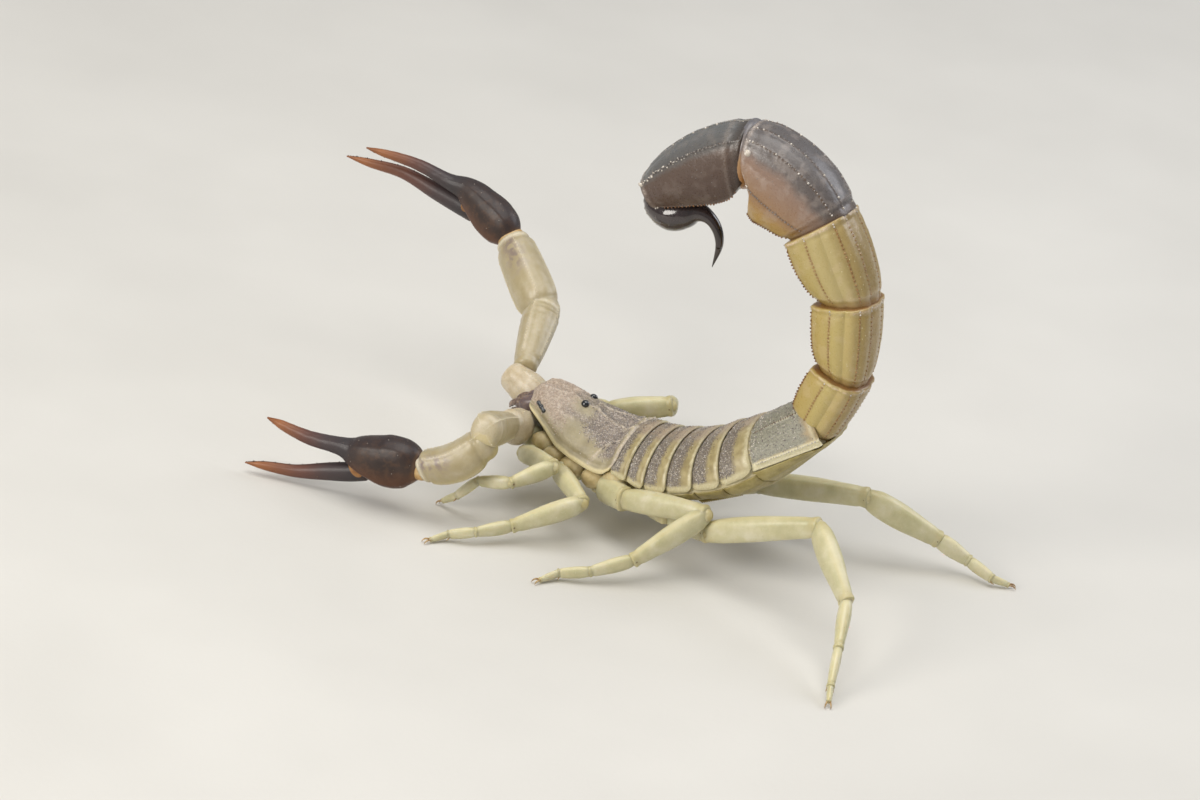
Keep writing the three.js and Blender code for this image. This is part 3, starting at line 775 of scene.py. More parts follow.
def make_carapace():
    piece = Piece("carapace_shield")
    piece.add(cover(170, 220, shield, thick=SHIELD_WALL))

    def on_grey(x, y, m):
        return 0.9 * m[2] * (y > 5.0)

    def on_pale(x, y, m):
        return max(m[3] ** 1.5, 0.22 * m[2] * (y > 5.5), 0.008)

    def on_front(x, y, m):
        return 0.9 * (m[0] < 0.42) * (m[1] < 0.85)

    greyish = shield_spots(11, 900, on_grey, (0.04, 0.075))
    bright = shield_spots(12, 520, on_pale, (0.03, 0.075))
    warm = shield_spots(13, 700, on_front, (0.035, 0.075))
    piece.add(strew(greyish), 1)
    piece.add(strew(bright), 2)
    piece.add(strew(warm), 3)
    piece.done(
        (
            "shield",
            "slate grain",
            "white grain",
            "warm grain",
        ),
        ("carapace",),
        "carapace_shell",
    )
    for side, name in SIDES:
        eye = Piece("median_eye_" + name)
        seat = shield_at(4.6, 1.36)[0]
        place = Vector((side * 1.02, 4.58, seat.z + 0.02))
        out = Vector((side * 0.78, -0.1, 0.62)).normalized()
        eye.add(lens(place - out * 0.07, out, 0.43, 0.37))
        eye.done(("eye",), ("median_eye_" + name,), "eye_black")
        beads = Piece("side_eyes_beads_" + name)
        out = Vector((side * 0.85, -0.25, 0.42)).normalized()
        seats = []
        for y, angle, radius in ((0.42, 0.49, 0.24), (0.86, 0.445, 0.26), (1.28, 0.4, 0.23)):
            place = shield_at(y, angle)[0]
            place.x *= side
            seats.append(place)
            beads.add(lens(place - out * 0.05, out, radius, 0.24))
        bar = ((0.0, 0.18, 0.18, 0.18), (0.5, 0.2, 0.2, 0.2), (1.0, 0.18, 0.18, 0.18))
        beads.add(cover(40, 24, limb(seats[0], seats[2], out, bar, 2.0)))
        beads.done(("eye",), ("side_eyes_" + name,), "eye_black")


def lens(place, out, radius, tall):
    """A domed eye seated on the shell."""
    bm = bmesh.new()
    bmesh.ops.create_uvsphere(bm, u_segments=40, v_segments=24, radius=1.0)
    bmesh.ops.transform(bm, matrix=seated(place, out, radius, tall), verts=bm.verts)
    return mark_all(bm, PLAIN)


# ------------------------------------------------------------------ back plates and belly
BACK = (  # ring, y, height of the middle line, lean, half width, drop to the margin, belly depth
    (0, 10.55, 10.28, 0, 5.45, 3.35, 1.3),
    (1, 11.9, 10.38, 2, 5.55, 3.6, 1.5),
    (2, 13.6, 10.55, 6, 5.75, 3.85, 1.8),
    (3, 15.6, 11.15, 13, 5.95, 3.95, 2.1),
    (4, 17.9, 12.1, 20, 6.05, 3.8, 2.3),
    (5, 20.1, 13.65, 27, 6.0, 4.1, 2.5),
    (6, 22.6, 15.35, 35, 5.4, 3.8, 2.5),
    (7, 27.4, 19.45, 44, 3.2, 4.5, 0.35),
)


def trunk_at(ring, angle, lift=0.0, slide=0.0, squash=1.0):
    """Place on the trunk at a ring number and an angle.

    The angle is 0 at the left margin and a quarter turn at the middle of the back.
    """
    y, top, lean, half, drop, belly = read(BACK, ring)
    a = math.radians(lean)
    up = Vector((0.0, -math.sin(a), math.cos(a)))
    on = Vector((0.0, math.cos(a), math.sin(a)))
    c = math.cos(angle)
    s = math.sin(angle)
    deep = drop if s > 0 else belly * squash
    x = power(c, 0.96) * half
    z = power(s, 0.96) * deep
    out = Vector((c / half, 0.0, 0.0)) + up * (s / deep)
    out.normalize()
    return Vector((x, y, top)) + up * (z - drop) + on * slide + out * lift


def tergite(k):
    """Surface of back plate k, 0 to 5."""

    def surface(t, u):
        angle = mix(-0.1, math.pi + 0.1, u)
        side = abs(math.cos(angle))
        ring = k + mix(-0.06 if k else -0.4, 1.0, t)
        lift = -0.27 * step(0.2, -0.02, t) + 0.08 * step(0.3, 0.72, t)
        lift += 0.05 * hill(t - 0.87, 0.09) - 0.16 * step(0.965, 1.0, t)
        lift += 0.07 * hill(angle, 0.13) + 0.07 * hill(angle - math.pi, 0.13)
        lift += 0.09 * hill(side, 0.06) * step(0.2, 0.4, t) * step(0.95, 0.8, t)
        lift += 0.06 * hill(side - 0.34, 0.05) * step(0.25, 0.45, t) * step(0.9, 0.75, t)
        round_off = 1.0 - 0.62 * (abs(2 * t - 1) ** 5) * step(0.78, 1.0, side)
        spread = QUARTER + (angle - QUARTER) * mix(1.0, round_off, 0.17)
        place = trunk_at(max(ring, 0.0), spread, lift + 0.02, slide=1.35 * min(ring, 0.0))
        rough = wobble(place.x, place.y, place.z, 0.45)
        wide = abs(spread - QUARTER) / QUARTER
        rear = 0.54 + 0.05 * rough + 0.05 * (1 - side)
        dark = step(0.0, 0.08, t) * step(rear + 0.16, rear - 0.06, t)
        dark *= step(0.985, 0.91, wide + 0.02 * rough)
        pale = max(step(0.85, 0.97, t + 0.06 * rough) * (0.8 + 0.3 * rough), step(0.91, 0.985, wide))
        dark *= mix(0.45, 1.0, step(0.08, 0.45, side))
        pale *= mix(0.35, 1.0, step(0.15, 0.5, side))
        return place, (t, side, dark, pale)

    return surface


def last_tergite(t, u):
    angle = mix(-0.04, math.pi + 0.04, u)
    side = abs(math.cos(angle))
    wide = abs(angle - QUARTER) / QUARTER
    ring = 6 + mix(-0.05, 1.0, t)
    lift = -0.3 * step(0.1, -0.02, t) + 0.08 * step(0.15, 0.4, t)
    inner = 0.42
    lift += 0.12 * hill(wide - inner, 0.025) * step(0.22, 0.4, t) * step(1.0, 0.93, t)
    lift += 0.16 * hill(wide - 0.93, 0.03) * step(0.08, 0.22, t)
    lift -= 0.12 * hill(wide - 0.66, 0.16) * step(0.2, 0.5, t)
    lift += 0.06 * hill(t - 0.94, 0.035) - 0.12 * step(0.96, 1.0, t)
    reach = 0.35 * step(0.55, 1.0, t) * step(0.9, 0.35, side)
    place = trunk_at(ring, angle, lift + 0.02, slide=reach)
    rough = wobble(place.x, place.y, place.z, 0.6)
    dark = step(0.03, 0.1, t) * step(0.93, 0.8, t + 0.05 * rough) * step(0.93, 0.88, wide + 0.02 * rough)
    pale = max(0.95 * step(0.88, 0.93, wide), 0.4 * hill(wide - inner, 0.02) * step(0.25, 0.5, t))
    pale = max(pale, 0.8 * step(0.09, 0.03, t), 0.5 * hill(t - 0.95, 0.03))
    return place, (t, side, dark, pale)


def plate_spots(seed, count, surface, wanted, size, spread=(0.04, 0.96)):
    dice = random.Random(seed)
    spots = []
    tries = 0
    while len(spots) < count and tries < count * 40:
        tries += 1
        t = dice.uniform(0.05, 0.96)
        u = dice.uniform(*spread)
        place, marks = surface(t, u)
        if dice.random() > wanted(t, u, marks):
            continue
        place, out = facing(surface, t, u, 0.006)
        radius = dice.uniform(*size)
        spots.append((place, out, radius, radius * dice.uniform(0.7, 1.1)))
    return spots


def ridge_spots(seed, surface, u, low, high, gap, size, turn=1.0):
    """Grains in a row along a surface at a fixed u."""
    dice = random.Random(seed)
    spots = []
    t = low
    while t < high:
        place, out = facing(surface, t, u + dice.uniform(-0.002, 0.002), 0.006)
        radius = dice.uniform(*size)
        spots.append((place, out * turn, radius, radius * 1.15))
        t += gap * dice.uniform(0.85, 1.15)
    return spots


BACK_GRAINS = (90, 130, 170, 200, 220, 240)  # white grains on each back plate
BACK_COATS = ("slate grain", "white grain", "brown grain")


def on_slate(t, u, m):
    return m[2] ** 0.5 * (m[2] > 0.15)


def on_band(t, u, m):
    return hill(t - 0.62, 0.12)


def make_back():
    for k in range(6):
        piece = Piece("tergite_%d" % (k + 1))
        surface = tergite(k)
        piece.add(cover(46, 200, surface, thick=BACK_WALL))
        count = BACK_GRAINS[k]
        white = plate_spots(30 + k, count, surface, lambda t, u, m: m[2] ** 2, (0.028, 0.075))
        slate = plate_spots(40 + k, count * 2, surface, on_slate, (0.04, 0.075))
        piece.add(strew(slate), 1)
        piece.add(strew(white), 2)
        edge = plate_spots(50 + k, 60, surface, on_band, (0.04, 0.06), (0.25, 0.75))
        piece.add(strew(edge), 3)
        piece.done(
            ("tergite", *BACK_COATS),
            ("mesosoma_%d" % (k + 1),),
            "tergite_shell",
        )
    piece = Piece("tergite_7")
    piece.add(cover(90, 190, last_tergite, thick=BACK_WALL))

    def on_last(t, u, m):
        return 0.35 * m[2] + 0.9 * step(0.35, 0.1, t)

    piece.add(strew(plate_spots(37, 420, last_tergite, on_last, (0.03, 0.085))), 2)
    grey = plate_spots(47, 460, last_tergite, lambda t, u, m: 0.3 + 0.5 * m[2], (0.045, 0.085))
    piece.add(strew(grey), 1)
    for n, wide in enumerate((0.42, 0.93)):
        for m, way in enumerate((-1, 1)):
            u = (QUARTER * (1 + way * wide) + 0.04) / (math.pi + 0.08)
            row = ridge_spots(60 + 2 * n + m, last_tergite, u, 0.14, 0.96, 0.034, (0.06, 0.1))
            piece.add(strew(row), 2 if n else 3)
    piece.done(
        ("last tergite", *BACK_COATS),
        ("mesosoma_7",),
        "tergite_shell",
    )


def belly_core(t, u):
    """The soft body under the plates, with side folds."""
    ring = mix(-0.1, 7.0, t)
    angle = TAU * u
    s = math.sin(angle)
    flank = hill(math.sin(angle) + 0.18, 0.3)
    fold = 0.1 * flank * math.sin(TAU * 3.2 * s) + 0.1 * flank * abs(math.sin(math.pi * ring))
    shrink = -0.42 if s > 0 else -0.2
    close = step(0.0, 0.012, t) * step(1.0, 0.985, t)
    place = trunk_at(ring, angle, shrink + fold)
    y, top, lean, _, drop, _ = read(BACK, ring)
    a = math.radians(lean)
    centre = Vector((0.0, y, top)) + Vector((0.0, math.sin(a), -math.cos(a))) * drop
    return centre + (place - centre) * (0.02 + 0.98 * close), (t, s, 0.0, 0.0)


def sternite(k):
    """Surface of belly plate k, 2 to 6, on the underside of ring k."""

    def surface(t, u):
        reach = 0.22 if k < 6 else mix(0.1, 0.5, step(0.72, 1.0, t))
        angle = mix(-math.pi + reach, -reach, u)
        ring = k + mix(-0.05, 1.0, t)
        side = abs(math.cos(angle))
        lift = 0.05 - 0.22 * step(0.16, 0.0, t) + 0.06 * hill(t - 0.9, 0.07) - 0.16 * step(0.96, 1.0, t)
        lift += 0.05 * hill(side - 0.45, 0.05) + 0.05 * hill(side - 0.8, 0.05)
        slit = math.hypot((t - 0.55) / 0.06, (side - 0.66) / 0.07)
        lift -= 0.12 * hill(slit, 1.0) if k < 6 else 0.0
        place = trunk_at(ring, angle, lift)
        dark = 0.7 * hill(slit, 1.1) if k < 6 else 0.0
        return place, (t, side, dark, step(0.86, 0.96, t))

    return surface


def make_belly():
    core = Piece("belly_skin")
    core.add(cover(150, 120, belly_core))
    core.done(("pleura",), (), "pale_cuticle")
    plates = Piece("belly_plates")
    for k in range(2, 7):
        plates.add(cover(40, 110, sternite(k), thick=-0.1))
    plates.done(("sternite",), (), "pale_cuticle")


def plate_on(outline, place, out, ahead, thick, dome=0.12):
    """A small domed plate. outline rows: forward, half width."""
    side = ahead.cross(out).normalized()

    def surface(t, u):
        span = outline[0][0] + (outline[-1][0] - outline[0][0]) * t
        half = max(read(outline, span)[0], 0.0)
        x = mix(-1, 1, u)
        rise = dome * (1 - x * x) * min(half, 1.0)
        return place + ahead * span + side * x * half + out * rise, (t, 0.5, 0.0, 0.0)

    return cover(26, 26, surface, thick=-thick)


def make_underside():
    piece = Piece("coxae_and_breast")

    def core(t, u):
        rows = (  # y, half width, top, bottom
            (-1.5, 2.3, 8.1, 6.2),
            (-0.4, 3.0, 7.9, 5.4),
            (2.0, 3.5, 7.3, 4.8),
            (5.0, 4.0, 6.9, 4.4),
            (9.0, 4.4, 6.6, 4.2),
            (11.5, 4.4, 6.0, 4.0),
            (14.0, 4.0, 5.6, 3.9),
            (16.2, 3.2, 5.0, 3.8),
        )
        y = mix(-1.5, 16.2, t)
        half, top, low = read(rows, y)
        close = step(0.0, 0.02, t) * step(1.0, 0.98, t)
        c = math.cos(TAU * u)
        s = math.sin(TAU * u)
        x = power(c, 0.85) * half * close
        z = power(s, 0.85) * (top - low) / 2 * close
        z += 0.05 * math.sin(y * 5.0) * abs(c) * close
        return Vector((x, y, (top + low) / 2 + z)), (t, s, 0.0, 0.0)

    piece.add(cover(80, 60, core), 2)
    for y, z, out, tall in HIP_FOLDS:
        for side in (1, -1):
            piece.add(soft_ball((side * out, y, z), (0.95, 1.35, tall)), 3)
    bars = (  # inner end, hip, half width, half depth
        ((0.9, 3.4, 4.95), (3.7, 2.3, 5.35), 0.95, 0.85),
        ((0.8, 6.3, 4.55), (4.3, 5.5, 4.95), 1.15, 0.95),
        ((0.9, 8.6, 4.25), (4.7, 9.3, 4.75), 1.25, 0.95),
        ((1.2, 10.4, 4.05), (4.9, 16.9, 4.25), 1.35, 0.9),
    )
    for side in (1, -1):
        for inner, hip, half, deep in bars:
            a = (side * inner[0], inner[1], inner[2])
            b = (side * hip[0], hip[1], hip[2])
            girth = (
                (0.0, half * 0.7, deep * 0.8, deep * 0.8),
                (0.4, half * 0.95, deep, deep),
                (0.85, half, deep * 1.05, deep),
                (1.0, half * 0.85, deep * 0.95, deep * 0.9),
            )
            shape = limb(a, b, (0, 0, 1), girth, 2.6, relief=coxa_relief)
            piece.add(cover(54, 48, shape))
        lobe = limb((side * 1.0, 4.0, 5.0), (side * 0.9, -0.9, 5.9), (0, 0, 1), LOBE, 2.4)
        piece.add(cover(40, 32, lobe))
        a = (side * 1.5, 0.9, 6.0)
        b = (side * 3.2, -0.9, 6.9)
        hip = limb(a, b, (0, 0, 1), PALP_HIP, 2.4, relief=coxa_relief)
        piece.add(cover(48, 44, hip))
    flat = Vector((0, 0, -1))
    ahead = Vector((0, 1, 0))
    breast = ((0.0, 0.15), (0.4, 0.45), (1.2, 0.8), (2.0, 0.95), (2.3, 0.8))
    piece.add(plate_on(breast, Vector((0, 6.9, 3.55)), flat, ahead, 0.25, 0.1))
    for side in (1, -1):
        cover_plate = ((0.0, 0.3), (0.3, 0.62), (0.8, 0.68), (1.1, 0.45))
        piece.add(plate_on(cover_plate, Vector((side * 0.66, 9.35, 3.4)), flat, ahead, 0.22, 0.1))
    piece.done(
        ("leg", "sternite", "pleura", "fold"), ("coxae",), "pale_cuticle"
    )
    for side, name in SIDES:
        make_comb(side, name)


def coxa_relief(s, u):
    ridge = 0.07 * (hill(u - 0.12, 0.03) + hill(u - 0.38, 0.03) + hill(u - 0.88, 0.03))
    return ridge - 0.05 * hill(s - 0.86, 0.05), 0.0, 0.25 * hill(u - 0.12, 0.03)


HIP_FOLDS = (  # y, height, distance out, half height
    (1.9, 6.6, 3.5, 1.15),
    (3.4, 5.9, 3.9, 1.0),
    (5.7, 5.6, 4.45, 1.1),
    (8.3, 5.3, 4.8, 1.1),
    (10.5, 6.0, 4.75, 1.3),
)
# inner lobe and arm hip: along, half width, height above, depth below
LOBE = ((0.0, 0.55, 0.5, 0.5), (0.5, 0.75, 0.6, 0.6), (0.85, 0.7, 0.55, 0.5), (1.0, 0.45, 0.35, 0.35))
PALP_HIP = ((0.0, 0.9, 0.9, 0.9), (0.5, 1.35, 1.3, 1.2), (0.9, 1.2, 1.25, 1.15), (1.0, 0.95, 1.0, 1.0))


def make_comb(side, name):
    """A sense comb of the underside: its spine and a row of teeth."""
    piece = Piece("comb_" + name)
    a = Vector((side * 1.2, 17.1, 3.9))
    b = Vector((side * 6.2, 19.8, 3.6))
    girth = ((0.0, 0.5, 0.22, 0.22), (0.4, 0.55, 0.24, 0.24), (1.0, 0.28, 0.16, 0.16))
    shift = Vector((side * -0.2, 0.36, 0.0))
    piece.add(cover(40, 24, limb(a - shift, b - shift, (0, 0, 1), girth, 2.4)))
    along = (b - a).normalized()
    rear = Vector((-along.y * side, along.x * side, 0.0))
    if rear.y < 0:
        rear = -rear
    for n in range(24):
        s = (n + 0.6) / 24.5
        root = a + along * (b - a).length * s - shift + rear * 0.1
        long = mix(1.0, 0.6, s**1.5)
        tip = root + rear * long + Vector((0, 0, -0.08)) + along * 0.1
        tooth = ((0.0, 0.06, 0.1, 0.1), (0.5, 0.085, 0.12, 0.12), (1.0, 0.07, 0.09, 0.09))
        piece.add(cover(10, 10, limb(root, tip, (0, 0, 1), tooth, 2.2)))
    piece.done(("sternite",), ("pecten_" + name,), "pale_cuticle")


# ------------------------------------------------------------------ tail
JOINTS = ((28.3, 16.7), (30.3, 22.6), (29.5, 30.2), (25.4, 37.0), (16.7, 41.65), (7.6, 34.4))
TAIL_GIRTH = (  # along, half width, outer half depth, inner half depth
    (
        (0.0, 2.5, 2.2, 2.4), (0.16, 2.8, 2.5, 2.7), (0.5, 3.05, 2.7, 2.95),
        (0.85, 3.2, 2.7, 3.0), (1.0, 3.2, 2.55, 2.95),
    ),
    (
        (0.0, 2.3, 2.1, 2.1), (0.1, 2.65, 2.45, 2.45), (0.3, 3.05, 2.75, 2.85),
        (0.6, 3.3, 2.9, 3.1), (1.0, 3.4, 2.75, 3.3),
    ),
    (
        (0.0, 2.6, 2.5, 2.2), (0.1, 2.95, 2.85, 2.7), (0.3, 3.3, 3.2, 3.2),
        (0.6, 3.5, 3.35, 3.6), (1.0, 3.5, 3.1, 3.75),
    ),
    (
        (0.0, 3.0, 3.3, 3.1),
        (0.16, 3.4, 4.1, 3.4),
        (0.35, 3.6, 4.75, 3.55),
        (0.6, 3.65, 5.0, 3.9),
        (0.82, 3.6, 4.7, 3.9),
        (0.93, 3.5, 4.3, 3.75),
        (1.0, 3.35, 3.9, 3.6),
    ),
    (
        (0.0, 2.9, 3.1, 3.1),
        (0.12, 3.2, 3.55, 3.75),
        (0.4, 3.25, 3.75, 3.35),
        (0.7, 2.95, 3.3, 2.35),
        (0.88, 2.45, 2.65, 1.7),
        (1.0, 2.0, 1.95, 1.4),
    ),
)
ENDS = {3: (17.3, 40.9)}
TILTS = {
    (0, 1): math.radians(79),
    (1, 0): math.radians(79),
    (1, 1): math.radians(104),
    (2, 0): math.radians(104),
    (2, 1): math.radians(131),
    (3, 0): math.radians(131),
    (3, 1): math.radians(187),
    (4, 0): math.radians(-171),
}
KEELS = (  # across, towards the outer side, and how strong, from the inner middle round
    (
        (0.0, -0.78, 0.0), (0.7, -0.92, 1.0), (0.98, -0.22, 0.8),
        (0.98, 0.3, 0.0), (0.8, 0.76, 1.0), (0.36, 0.96, 0.7),
    ),
    (
        (0.0, -0.78, 0.0), (0.72, -0.88, 1.0), (1.0, -0.1, 0.0),
        (0.88, 0.62, 1.0), (0.42, 0.92, 0.0), (0.02, 1.0, 0.7),
    ),
)


def tail_angle(k):
    return math.atan2(JOINTS[k + 1][1] - JOINTS[k][1], JOINTS[k + 1][0] - JOINTS[k][0])


def turn_by(a, b, share=0.5):
    """The angle a share of the way round from a to b."""
    return a + math.atan2(math.sin(b - a), math.cos(b - a)) * share


def tail_frame(k, t):
    """Centre, outward direction, half width, outer and inner half depth of tail segment k at t along it."""
    here = tail_angle(k)
    before = math.radians(46) if k == 0 else tail_angle(k - 1)
    after = here if k == 4 else tail_angle(k + 1)
    base = TILTS.get((k, 0), turn_by(here, before))
    rim = TILTS.get((k, 1), turn_by(here, after))
    w, outer, inner = read(TAIL_GIRTH[k], t)
    blend = turn_by(base, here, t * 2) if t < 0.5 else turn_by(here, rim, t * 2 - 1)
    stretch = min(1 / math.cos(blend - here), 1.05) if k < 3 else 1.0
    up = Vector((0.0, math.sin(blend), -math.cos(blend)))
    start = JOINTS[k]
    end = ENDS.get(k, JOINTS[k + 1])
    centre = Vector((0.0, mix(start[0], end[0], t), mix(start[1], end[1], t)))
    return centre, up, w, outer * stretch, inner * stretch, Vector((0.0, math.cos(here), math.sin(here)))


def tail_segment(k):
    """Surface of tail segment k, with its keels, narrow neck and raised rim."""
    half_ring = KEELS[1 if k == 4 else 0]
    ring = list(half_ring) + [(-x, y, s) for x, y, s in reversed(half_ring[1:])]
    count = len(ring)
    length = (Vector(JOINTS[k + 1]) - Vector(JOINTS[k])).length

    def surface(t, u):
        s = min(max((t - 0.05) / 0.9, 0.0), 1.0)
        centre, up, w, outer, inner, on = tail_frame(k, s)
        q = (u % 1.0) * count
        i = int(q) % count
        f = q - int(q)
        ax, ay, keel_a = ring[i]
        bx, by, keel_b = ring[(i + 1) % count]
        x = mix(ax, bx, f)
        y = mix(ay, by, f)
        size = math.hypot(x, y)
        d = mix(inner, outer, step(-0.5, 0.5, y))
        body = step(0.0, 0.12, s) * step(1.0, 0.9, s)
        swell = 0.085 * math.sin(math.pi * f)
        keel = keel_a * hill(f, 0.07) + keel_b * hill(1 - f, 0.07)
        wave = 0.75 + 0.25 * math.cos(TAU * s * length / 0.36)
        lift = swell * min(w, d) * (1.0 if k < 3 else 0.6) + 0.09 * keel * wave * (0.25 + 0.75 * body)
        rough = wobble(x * w, s * length, y * d + 7 * k, 0.5)
        lift += 0.02 * rough
        lift -= 0.12 * hill(s - 0.07, 0.035)
        flare = (0.05, 0.05, 0.05, 0.03, 0.03)[k]
        lift += flare * (1.0 + 0.4 * math.cos(TAU * u * 31 + k)) * hill(s - 0.975, 0.022)
        lift -= 0.05 * hill(s - 0.92, 0.03)
        scale = 1.0
        slide = -1.15 * step(0.78, 1.0, s) * step(0.25, -0.55, y) if k == 3 else 0.0
        if t < 0.05:
            scale = math.sin(t / 0.05 * QUARTER) ** 0.6
            slide = -0.45 * math.cos(t / 0.05 * QUARTER)
        elif t > 0.95:
            turn = (t - 0.95) / 0.05
            scale = 1.0 - min(turn, 1.0) ** 1.4
            slide += 0.1 * math.sin(math.pi * min(turn * 1.4, 1.0)) - 0.35 * step(0.3, 1.0, turn)
        place = centre + Vector((x * w, 0, 0)) * scale + up * (y * d * scale) + on * slide
        place += (Vector((x, 0, 0)) + up * y).normalized() * lift * scale
        dark = keel * (0.3 + 0.7 * step(0.6, 0.95, wave)) * body
        pale = hill(s - 0.972, 0.018) * (0.55 + 0.9 * wobble(x * w, k, y * d, 0.6))
        pale = min(max(pale, 0.25 * hill(s - 0.12, 0.02), 0.0), 1.0)
        if k == 4:
            gap = min(q, count - q) - 1.0
            pale = max(pale, 0.85 * hill(gap + 0.04, 0.07) * body)
        # The tucked-in end of each ring takes the dark keel colour. This is partly the dark joint and partly
        # painted shade in the gap between the rings.
        if t > 0.957:
            dark = 0.85
            pale = 0.0
        return place, (s, y / max(size, 0.2) * min(size, 1.0), min(dark, 1.0), pale)

    return surface, count, half_ring, length


def keel_rows(seed, k, surface, count, half_ring, length):
    """Grains along every keel of a tail segment, in small, large and pale rows."""
    small = []
    teeth = []
    pale = []
    for i in range(1, len(half_ring)):
        strength = half_ring[i][2]
        for side in (i, count - i):
            gap = 0.33 / length / 0.9
            if strength < 0.3:
                continue
            radius = 0.07 + 0.035 * strength
            u = side / count
            row = ridge_spots(seed + 7 * i + side, surface, u, 0.12, 0.86, gap, (radius * 0.8, radius))
            if i == 1:
                teeth += [(spot, out, r * 1.15, r * 1.5) for spot, out, r, _ in row]
            else:
                small += row
            if k > 2 and i > 3:
                first = seed + 50 * i + side
                pale += ridge_spots(first, surface, u, 0.1, 0.95, gap * 1.3, (0.07, 0.14))[::2]
            first = seed + 70 * i + side
            pale += ridge_spots(first, surface, u, 0.9, 0.94, gap * 0.7, (0.09, 0.12))
    return small, teeth, pale


def off_the_ends(t, u, m):
    return 0.5 * (0.1 < t < 0.9)


def make_tail():
    coats = ("tail one", "tail two", "tail three", "tail four", "tail five")
    for k in range(5):
        surface, count, half_ring, length = tail_segment(k)
        piece = Piece("tail_segment_%d" % (k + 1))
        piece.add(cover(120, 22 * count // 2 * 2, surface))
        small, teeth, pale = keel_rows(100 + 10 * k, k, surface, count, half_ring, length)
        piece.add(strew(small), 1)
        piece.add(strew(teeth), 2)
        piece.add(strew(pale), 3)
        specks = plate_spots(140 + k, 150, surface, off_the_ends, (0.03, 0.06), (0.0, 1.0))
        piece.add(strew(specks), 4)
        if k == 4:
            piece.add(tail_lobes(surface, count), 3)
            for side in (1, -1):
                knob = (Vector((side * 3.2, 17.7, 42.8)), Vector((side, 0, 0)), 0.38, 0.26)
                piece.add(strew([knob], template="bead"), 3)
        piece.done(
            (
                coats[k],
                "keel grain" if k < 3 else "slate grain",
                "tooth grain",
                "white grain",
                "speck" if k < 3 else "slate grain",
            ),
            ("metasoma_%d" % (k + 1),),
            "tail_amber" if k < 3 else "tail_dark",
        )
    joints = Piece("tail_joint_skins")
    for k in range(1, 5):
        centre, up, w, d, _, on = tail_frame(k, 0.0)
        if k < 4:
            joints.add(turned_ball(centre, (w * 0.9, d * 0.88, 0.9), up, on))
        else:
            joints.add(turned_ball(centre - up * 0.2, (w, 3.45, 1.6), up, on), 1)
    centre, up, w, d, _, on = tail_frame(0, 0.0)
    joints.add(turned_ball(centre, (w * 0.9, d * 0.9, 0.8), up, on))
    end, up, _, _, _, on = tail_frame(4, 1.0)
    joints.add(turned_ball(end + Vector((0, 0.15, -0.3)), (1.1, 1.05, 0.9), up, on), 2)
    joints.done(("membrane", "dark joint", "sting skin"), (), "tail_amber")


def turned_ball(centre, sizes, up, on):
    """Soft skin inside a tail joint, turned with the tail."""
    bm = bmesh.new()
    bmesh.ops.create_uvsphere(bm, u_segments=40, v_segments=24, radius=1.0)
    layers = [bm.verts.layers.float.new(name) for name in MARKS]
    side = up.cross(on).normalized()
    fit = Matrix((side, up, on)).transposed().to_4x4()
    fit = Matrix.Translation(centre) @ fit @ Matrix.Diagonal((sizes[0], sizes[1], sizes[2], 1.0))
    for vert in bm.verts:
        vert[layers[0]] = 0.5
        vert[layers[1]] = vert.co.y
    bmesh.ops.transform(bm, matrix=fit, verts=bm.verts)
    return bm


def tail_lobes(surface, count):
    """Pale lobes along the lower side keels of the last segment, larger towards the sting."""
    dice = random.Random(77)
    spots = []
    for i in (3, count - 3):
        for n in range(34):
            way = n / 33
            t = mix(0.25, 0.94, way) + dice.uniform(-0.01, 0.01)
            place, out = facing(surface, t, (i + dice.uniform(-0.09, 0.09)) / count, 0.006)
            big = 1.6 if n % 7 == 5 and way > 0.4 else 1.0
            radius = mix(0.05, 0.13, way) * dice.uniform(0.6, 1.1) * big
            spots.append((place, out, radius, radius * dice.uniform(0.8, 1.6)))
    return strew(spots)


def make_telson():
    piece = Piece("sting")
    points = (
        (0, 7.4, 33.8),
        (0, 8.3, 33.25),
        (0, 9.8, 33.05),
        (0, 11.3, 33.55),
        (0, 12.6, 33.95),
        (0, 13.7, 33.75),
        (0, 14.55, 33.1),
        (0, 15.1, 32.1),
        (0, 15.25, 30.9),
        (0, 14.92, 28.9),
    )
    radii = (0.85, 1.4, 1.8, 1.6, 1.0, 0.66, 0.54, 0.45, 0.33, 0.04)

    def ribs(s, u):
        return 0.03 * math.cos(TAU * u * 4) * step(0.5, 0.2, s)

    surface = horn(points, radii, (0, 0, 1), 1.1, relief=ribs)
    piece.add(cover(150, 64, surface))
    spots = plate_spots(91, 60, surface, lambda t, u, m: 0.9 * (t < 0.28), (0.035, 0.07), (0.0, 1.0))
    piece.add(strew(spots), 1)
    piece.done(("sting", "slate grain"), ("telson",), "sting_black")


